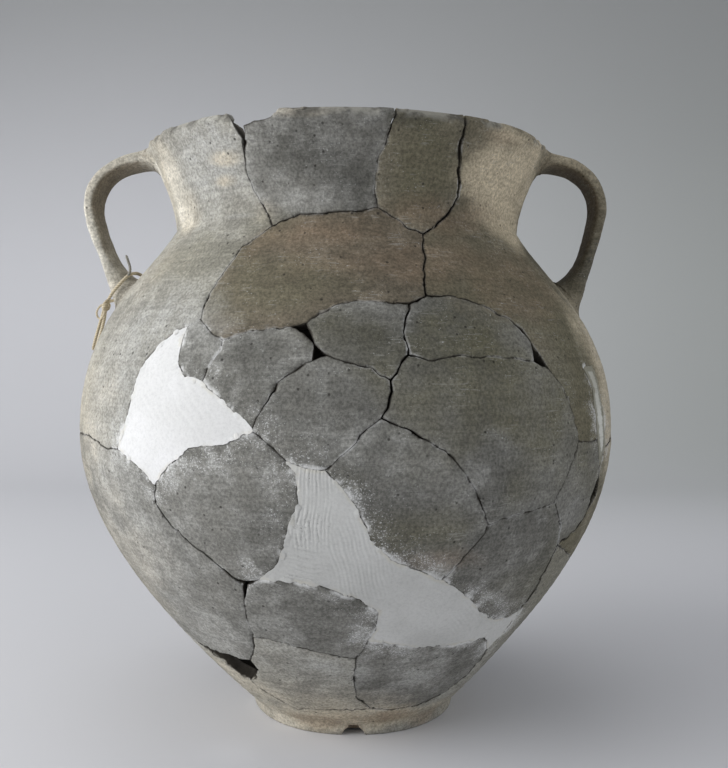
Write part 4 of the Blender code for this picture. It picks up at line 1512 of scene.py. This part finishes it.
    def inside(self, w: Wiring, masks: dict[str, Socket], colour: Socket) -> Socket:
        """Painted shade inside the jar: near black low down and on the floor, eased lighter towards the
        mouth where the light comes in.

        Args:
            w: the material's wiring.
            masks: the grain's masks.
            colour: the colour of the outside.

        Returns:
            The colour of both.
        """
        up = w.node("ShaderNodeSeparateXYZ", Vector=w.place()).outputs["Z"]
        # Painted shade, lighter towards the mouth and darkest on the floor
        painted_shade_lining = w.mix(w.band(up, 0.20, 0.32), self.painted_shade_lining, self.mouth)
        painted_shade_lining = w.mix(w.band(up, 0.020, 0.060, 1.0, 0.0), painted_shade_lining, self.floor)
        painted_shade_lining = w.shade(painted_shade_lining, w.band(masks["Mottle"], 0.3, 0.7, 0.7, 1.3))
        return w.mix(w.mask("inside"), colour, painted_shade_lining)


@dataclass(frozen=True)
class PlasterFinish:
    """Smoothed gypsum plaster. A veil of more than 0 lets the clay show along its edges."""

    name: str
    white: Colour
    grey: Colour
    stain: Colour = (0.60, 0.57, 0.48)
    clay: Colour = (0.190, 0.180, 0.125)
    back: Colour = (0.26, 0.25, 0.23)
    veil: float = 0.0

    def build(self, grain: bpy.types.NodeTree) -> bpy.types.Material:
        """Make the material.

        Args:
            grain: the grain group.

        Returns:
            The material.
        """
        material, w, shader = new_material(self.name, Roughness=0.75, Specular_IOR_Level=0.3)
        masks, edge = read_grain(w, grain), w.mask("edge")
        colour = w.mix(w.band(masks["Mottle"], 0.35, 0.65), self.grey, self.white)
        colour = w.shade(colour, w.band(masks["Fine"], 0.28, 0.60, 0.90, 1.03))
        stained = w.times(w.band(edge, 0.0, 0.10, 1.0, 0.0), w.band(masks["Cloud"], 0.44, 0.62, 0.0, 0.5))
        colour = w.mix(stained, colour, self.stain)
        if self.veil:
            ragged = w.math("ADD", w.band(edge, 0.0, 0.22, 0.75, 0.0), masks["Streaks"])
            colour = w.mix(w.band(ragged, 0.55, 0.85, 0.0, self.veil), colour, self.clay)
        colour = w.mix(w.mask("inside"), colour, self.back)
        w.dress(shader, colour, w.times(masks["Fine"], 0.5), 0.25, 0.5 * MM)
        return material


@dataclass(frozen=True)
class CottonFinish:
    """Undyed cotton, a little stained, with painted shade in the grooves between its plies."""

    name: str = "cotton"
    light: Colour = (0.66, 0.58, 0.42)
    # The dark colour serves both the stains and the painted shade in the grooves
    dark: Colour = (0.36, 0.29, 0.18)
    fluff: Colour = (0.80, 0.74, 0.58)
    fibre_scale: float = 1800.0
    stain_scale: float = 160.0

    def build(self) -> bpy.types.Material:
        """Make the material."""
        material, w, shader = new_material(self.name, Roughness=0.95, Sheen_Weight=0.3)
        place = w.place()
        fibres = w.noise(place, self.fibre_scale, 4.0, 0.7)
        stain = w.noise(place, self.stain_scale, 3.0, 0.6)
        # Painted shade in the grooves between the plies
        colour = w.mix(w.band(w.mask("groove"), 0.1, 0.9), self.light, self.dark)
        colour = w.mix(w.band(stain, 0.45, 0.7, 0.0, 0.6), colour, self.dark)
        colour = w.mix(w.band(fibres, 0.5, 0.8, 0.0, 0.4), colour, self.fluff)
        w.dress(shader, colour, fibres, 0.6, 0.3 * MM)
        return material


def smooth_route(points: Sequence[Place], count: int, steps: int = 12) -> list[Vector]:
    """A smooth curve through points, read at even steps of its length.

    Args:
        points: the route's own points.
        count: how many points to return.
        steps: how finely each stretch is worked out first.

    Returns:
        The curve's points.
    """
    ends = [Vector(point) for point in (points[0], *points, points[-1])]
    fine: list[Vector] = []
    for p0, p1, p2, p3 in zip(ends, ends[1:], ends[2:], ends[3:]):
        for step in range(steps):
            t = step / steps
            fine.append(0.5 * (2 * p1 + (p2 - p0) * t + (2 * p0 - 5 * p1 + 4 * p2 - p3) * t * t
                               + (3 * p1 - p0 - 3 * p2 + p3) * t**3))
    fine.append(ends[-1])
    line = np.array([tuple(p) for p in fine])
    travelled = np.concatenate([[0.0], np.cumsum(np.linalg.norm(np.diff(line, axis=0), axis=1))])
    wanted = np.linspace(0, travelled[-1], count)
    columns = [np.interp(wanted, travelled, line[:, axis]) for axis in range(3)]
    return [Vector(row) for row in np.column_stack(columns)]


@dataclass
class TieString:
    """The cotton string tied round the left handle's root, with its knot, loop and stub.

    Shares are of the string's diameter. The valley and the ply rise are those of its twisted surface,
    and the tip values narrow its cut ends.
    """

    route: tuple[Place, ...] = (
        (-.1610, -.0060, .2244), (-.1590, -.0072, .2315), (-.1566, -.0084, .2385), (-.1545, -.0090, .2450),
        (-.1530, -.0080, .2505), (-.1524, -.0030, .2545), (-.1520, .0040, .2560), (-.1508, .0115, .2570),
        (-.1470, .0175, .2592), (-.1410, .0198, .2640), (-.1358, .0170, .2695), (-.1332, .0100, .2722),
        (-.1326, .0010, .2728), (-.1330, -.0090, .2728), (-.1352, -.0168, .2712), (-.1395, -.0200, .2662),
        (-.1445, -.0200, .2603), (-.1478, -.0190, .2550), (-.1500, -.0165, .2500), (-.1516, -.0138, .2440),
        (-.1538, -.0120, .2370), (-.1561, -.0108, .2303), (-.1586, -.0098, .2235),
    )
    knot: tuple[Place, ...] = (
        (-.1466, -.0196, .2562), (-.1484, -.0222, .2540), (-.1502, -.0214, .2512), (-.1500, -.0184, .2492),
        (-.1480, -.0176, .2504), (-.1470, -.0198, .2528), (-.1484, -.0224, .2522), (-.1504, -.0214, .2496),
    )
    loop: tuple[Place, ...] = (
        (-.1488, -.0204, .2518), (-.1512, -.0192, .2526), (-.1542, -.0172, .2506), (-.1558, -.0158, .2476),
        (-.1550, -.0156, .2448), (-.1528, -.0168, .2440), (-.1504, -.0188, .2470), (-.1494, -.0200, .2500),
    )
    stub: tuple[Place, ...] = (
        (-.1356, -.0186, .2706), (-.1346, -.0176, .2728), (-.1348, -.0164, .2762), (-.1360, -.0158, .2798),
        (-.1374, -.0156, .2836),
    )
    diameter: float = 0.0020
    knot_share: float = 0.95
    loop_share: float = 0.60
    stub_share: float = 0.85
    stations: int = 420
    path_stations: int = 120
    sides: int = 18
    plies: int = 3
    twist: float = 0.0052
    valley: float = 0.80
    ply_rise: float = 0.26
    tip_start: float = 0.55
    tip_growth: float = 0.15
    first_side: Place = (0.3, -1.0, 0.2)

    def strand(self, name: str, points: Sequence[Place], diameter: float,
               stations: int) -> bpy.types.Object:
        """One twisted strand along a smooth route.

        Args:
            name: the piece's name.
            points: the route's own points.
            diameter: how thick the strand is.
            stations: how many rings of vertices it has.

        Returns:
            The strand as a closed mesh with a mask of the grooves between its plies.
        """
        line = smooth_route(points, stations)
        vertices: list[Vector] = []
        grooves: list[float] = []
        travelled = 0.0
        side = Vector(self.first_side)
        for index, point in enumerate(line):
            before, after = line[max(index - 1, 0)], line[min(index + 1, len(line) - 1)]
            along = (after - before).normalized()
            side = (side - along * side.dot(along)).normalized()
            other = along.cross(side)
            travelled += (point - before).length
            tip = min(index, len(line) - 1 - index)
            taper = min(1.0, self.tip_start + self.tip_growth * tip)
            for step in range(self.sides):
                turn = math.tau * step / self.sides
                lobe = abs(math.cos(self.plies / 2 * (turn - math.tau * travelled / self.twist)))
                radius = diameter / 2 * (self.valley + self.ply_rise * lobe) * taper
                vertices.append(point + radius * (math.cos(turn) * side + math.sin(turn) * other))
                grooves.append(1 - lobe)
        return self.skin(name, vertices, grooves)

    def skin(self, name: str, vertices: Sequence[Vector], grooves: Sequence[float]) -> bpy.types.Object:
        """Join the rings of a strand into a closed mesh.

        Args:
            name: the piece's name.
            vertices: its rings of vertices, one after the other.
            grooves: how deep in a groove each vertex is.

        Returns:
            The strand.
        """
        count = self.sides
        rings = len(vertices) // count
        faces = [
            (ring * count + step, (ring + 1) * count + step,
             (ring + 1) * count + (step + 1) % count, ring * count + (step + 1) % count)
            for ring in range(rings - 1) for step in range(count)
        ]
        faces.append(tuple(range(count)))
        faces.append(tuple(reversed(range((rings - 1) * count, rings * count))))
        mesh = bpy.data.meshes.new(name)
        mesh.from_pydata([tuple(v) for v in vertices], [], faces)
        store(mesh, "groove", np.array(grooves))
        thing = bpy.data.objects.new(name, mesh)
        bpy.context.scene.collection.objects.link(thing)
        select_only(thing)
        bpy.ops.object.mode_set(mode="EDIT")
        bpy.ops.mesh.select_all(action="SELECT")
        bpy.ops.mesh.normals_make_consistent(inside=False)
        bpy.ops.object.mode_set(mode="OBJECT")
        bpy.ops.object.shade_smooth()
        return thing

    def build(self, material: bpy.types.Material, stub_cotton: bpy.types.Material) -> None:
        """Args:
            material: the cotton.
            stub_cotton: the greyer cotton of the stub.
        """
        string = self.strand("tie_string_cotton", self.route, self.diameter, self.stations)
        extras = [
            self.strand("tie_string_knot", self.knot, self.diameter * self.knot_share, 90),
            self.strand("tie_string_loop", self.loop, self.diameter * self.loop_share, 80),
            self.strand("tie_string_stub", self.stub, self.diameter * self.stub_share, 50),
        ]
        for piece in [string, *extras]:
            piece.data.materials.append(stub_cotton if piece is extras[-1] else material)
            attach(piece, "root")
        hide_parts("tie_string")


@dataclass(frozen=True)
class Lamp:
    """A round soft light that points at the middle of the jar. Its power is in watts."""

    name: str
    place: Place
    size: float
    power: float
    target: Place = (0.0, 0.0, 0.18)

    def build(self) -> None:
        """Make the light."""
        bpy.ops.object.light_add(type="AREA", location=self.place)
        lamp = bpy.context.active_object
        lamp.name = self.name
        lamp.data.shape = "DISK"
        lamp.data.size = self.size
        lamp.data.energy = self.power
        aim = Vector(self.target) - Vector(self.place)
        lamp.rotation_euler = aim.to_track_quat("-Z", "Y").to_euler()


@dataclass(frozen=True)
class Studio:
    """The camera at the photograph's view, the pale floor and the soft light."""

    camera_place: Place = (0.01151, -0.61177, 0.22771)
    pitch_down: float = 2.25
    roll: float = 0.0069
    lens: float = 44.63
    sensor_width: float = 36.0
    clip: tuple[float, float] = (0.01, 50.0)
    floor_half: float = 3.0
    floor_flat: float = 0.9
    floor_curve: float = 0.8
    floor_rise: float = 2.4
    curve_steps: int = 24
    floor_colour: Colour = (0.71, 0.71, 0.735)
    # Painted shade on the sheet, far off on the right and high up
    far_painted_shade: Colour = (0.48, 0.495, 0.48)
    top_painted_shade: Colour = (0.355, 0.36, 0.36)
    sky_colour: Colour = (0.93, 0.96, 1.0)
    sky_strength: float = 0.42
    lamps: tuple[Lamp, ...] = (
        Lamp("left light", (-1.45, -0.50, 0.62), 1.5, 25.0),
        Lamp("right light", (1.4, -0.7, 0.6), 1.2, 3.0),
        Lamp("top light", (-0.3, 0.5, 2.3), 1.8, 6.0),
    )

    def build(self) -> None:
        """Make everything round the jar."""
        self.place_camera()
        self.lay_floor()
        self.light()

    def place_camera(self) -> None:
        """The camera, a little above the middle of the jar and looking slightly down."""
        bpy.ops.object.camera_add(location=self.camera_place)
        camera = bpy.context.active_object
        camera.name = "camera"
        camera.data.lens = self.lens
        camera.data.sensor_width = self.sensor_width
        camera.data.clip_start, camera.data.clip_end = self.clip
        pitch = Matrix.Rotation(math.radians(90 - self.pitch_down), 3, "X")
        camera.rotation_euler = (pitch @ Matrix.Rotation(self.roll, 3, "Z")).to_euler()
        bpy.context.scene.camera = camera

    def lay_floor(self) -> None:
        """A pale sheet that lies flat under the jar and sweeps up behind it."""
        half, flat, curve = self.floor_half, self.floor_flat, self.floor_curve
        turns = [math.radians(90 * i / self.curve_steps) for i in range(1, self.curve_steps + 1)]
        profile = [(-half, 0.0), (flat, 0.0)]
        profile += [(flat + curve * math.sin(t), curve * (1 - math.cos(t))) for t in turns]
        profile.append((flat + curve, self.floor_rise))
        vertices = [(x, y, z) for y, z in profile for x in (-half, half)]
        faces = [(2 * i, 2 * i + 1, 2 * i + 3, 2 * i + 2) for i in range(len(profile) - 1)]
        mesh = bpy.data.meshes.new("floor")
        mesh.from_pydata(vertices, [], faces)
        mesh.shade_smooth()
        floor = bpy.data.objects.new("floor", mesh)
        bpy.context.scene.collection.objects.link(floor)
        mesh.materials.append(self.paper())

    def paper(self) -> bpy.types.Material:
        """Pale paper with painted shade: darker far off on the right and high up, where the left light falls
        off.
        """
        material, w, shader = new_material("pale paper", Roughness=0.95, Specular_IOR_Level=0.1)
        spot = w.node("ShaderNodeSeparateXYZ", Vector=w.place()).outputs
        across = w.times(w.band(spot["X"], -0.6, 1.1), w.band(spot["Y"], 0.2, 1.3))
        colour = w.mix(across, self.floor_colour, self.far_painted_shade)
        colour = w.mix(w.band(spot["Z"], 0.25, 1.30), colour, self.top_painted_shade)
        w.join(shader.inputs["Base Color"], colour)
        return material

    def light(self) -> None:
        """Plain soft light, stronger from the left, with an even fill all round."""
        for lamp in self.lamps:
            lamp.build()
        world = bpy.data.worlds.new("soft surround")
        world.use_nodes = True
        sky = world.node_tree.nodes["Background"]
        sky.inputs["Color"].default_value = (*self.sky_colour, 1.0)
        sky.inputs["Strength"].default_value = self.sky_strength
        bpy.context.scene.world = world
        bpy.context.scene.view_settings.view_transform = "Standard"


# The ground, deep and light colours of each clay
CLAY = {
    Finish.GREY: ClayFinish(
        "grey clay", (0.205, 0.200, 0.180), (0.150, 0.147, 0.132), (0.320, 0.317, 0.295)),
    Finish.BUFF: ClayFinish(
        "buff clay", (0.330, 0.318, 0.275), (0.245, 0.236, 0.206), (0.440, 0.425, 0.375)),
    Finish.RED: ClayFinish(
        "red clay", (0.175, 0.148, 0.108), (0.130, 0.112, 0.082), (0.250, 0.212, 0.158)),
    Finish.OLIVE: ClayFinish(
        "olive clay", (0.190, 0.168, 0.118), (0.140, 0.126, 0.088), (0.270, 0.240, 0.175)),
}

# The white and grey colours of each fill. The front and right fills are greyer partly from their own duller
# plaster and partly as painted shade, for the left light falling off across the jar.
FILLS = {
    "fill_left": PlasterFinish("plaster", (0.78, 0.78, 0.78), (0.69, 0.69, 0.68)),
    "fill_front": PlasterFinish("grey plaster", (0.63, 0.63, 0.61), (0.53, 0.53, 0.51)),
    "fill_right": PlasterFinish("dull plaster", (0.66, 0.66, 0.61), (0.47, 0.46, 0.40), veil=0.7),
}

# The nodes of each finish. All others are grey clay
NODE_FINISH = {
    Finish.PLASTER: ("fill_front", "fill_left", "fill_right"),
    Finish.BUFF: ("base", "side_left", "neck_back", "bottom_front_left"),
    Finish.RED: ("shoulder_front",),
    Finish.OLIVE: ("neck_front_right", "side_right", "belly_right_side"),
}


def finish_of(node: str) -> Finish:
    """Which finish a node has."""
    return next((finish for finish, nodes in NODE_FINISH.items() if node in nodes), Finish.GREY)


def build_sherds() -> None:
    """Build and dress every piece of the jar itself."""
    form = JarForm()
    straps = {"side_left": Strap(-1.0, 0.1620, form), "side_right": Strap(1.0, 0.1585, form)}
    grain = Grain().build()
    materials = {finish: clay.build(grain) for finish, clay in CLAY.items()}
    clay_pieces: list[bpy.types.Object] = []
    fills: list[bpy.types.Object] = []
    nodes = sorted(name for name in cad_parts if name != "tie_string")
    for number, node in enumerate(nodes):
        finish, strap, fill = finish_of(node), straps.get(node), FILLS.get(node)
        piece = Sherd(node, finish, number, form, Body(form, strap) if strap else None).build()
        piece.data.materials.append(fill.build(grain) if fill else materials[finish])
        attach(piece, "root")
        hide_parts(node)
        (fills if fill else clay_pieces).append(piece)
        LOG.info("%s: %d faces", piece.name, len(piece.data.polygons))
    mark_near_plaster(clay_pieces, fills)


def main() -> None:
    """Build the studio, the string and every piece of the jar."""
    logging.basicConfig(level=logging.INFO, format="%(message)s")
    Studio().build()
    # The stub's cotton is greyer
    stub_cotton = CottonFinish("grey cotton", (0.34, 0.33, 0.29), (0.16, 0.15, 0.13))
    TieString().build(CottonFinish().build(), stub_cotton.build())
    build_sherds()


if __name__ == "__main__":
    main()
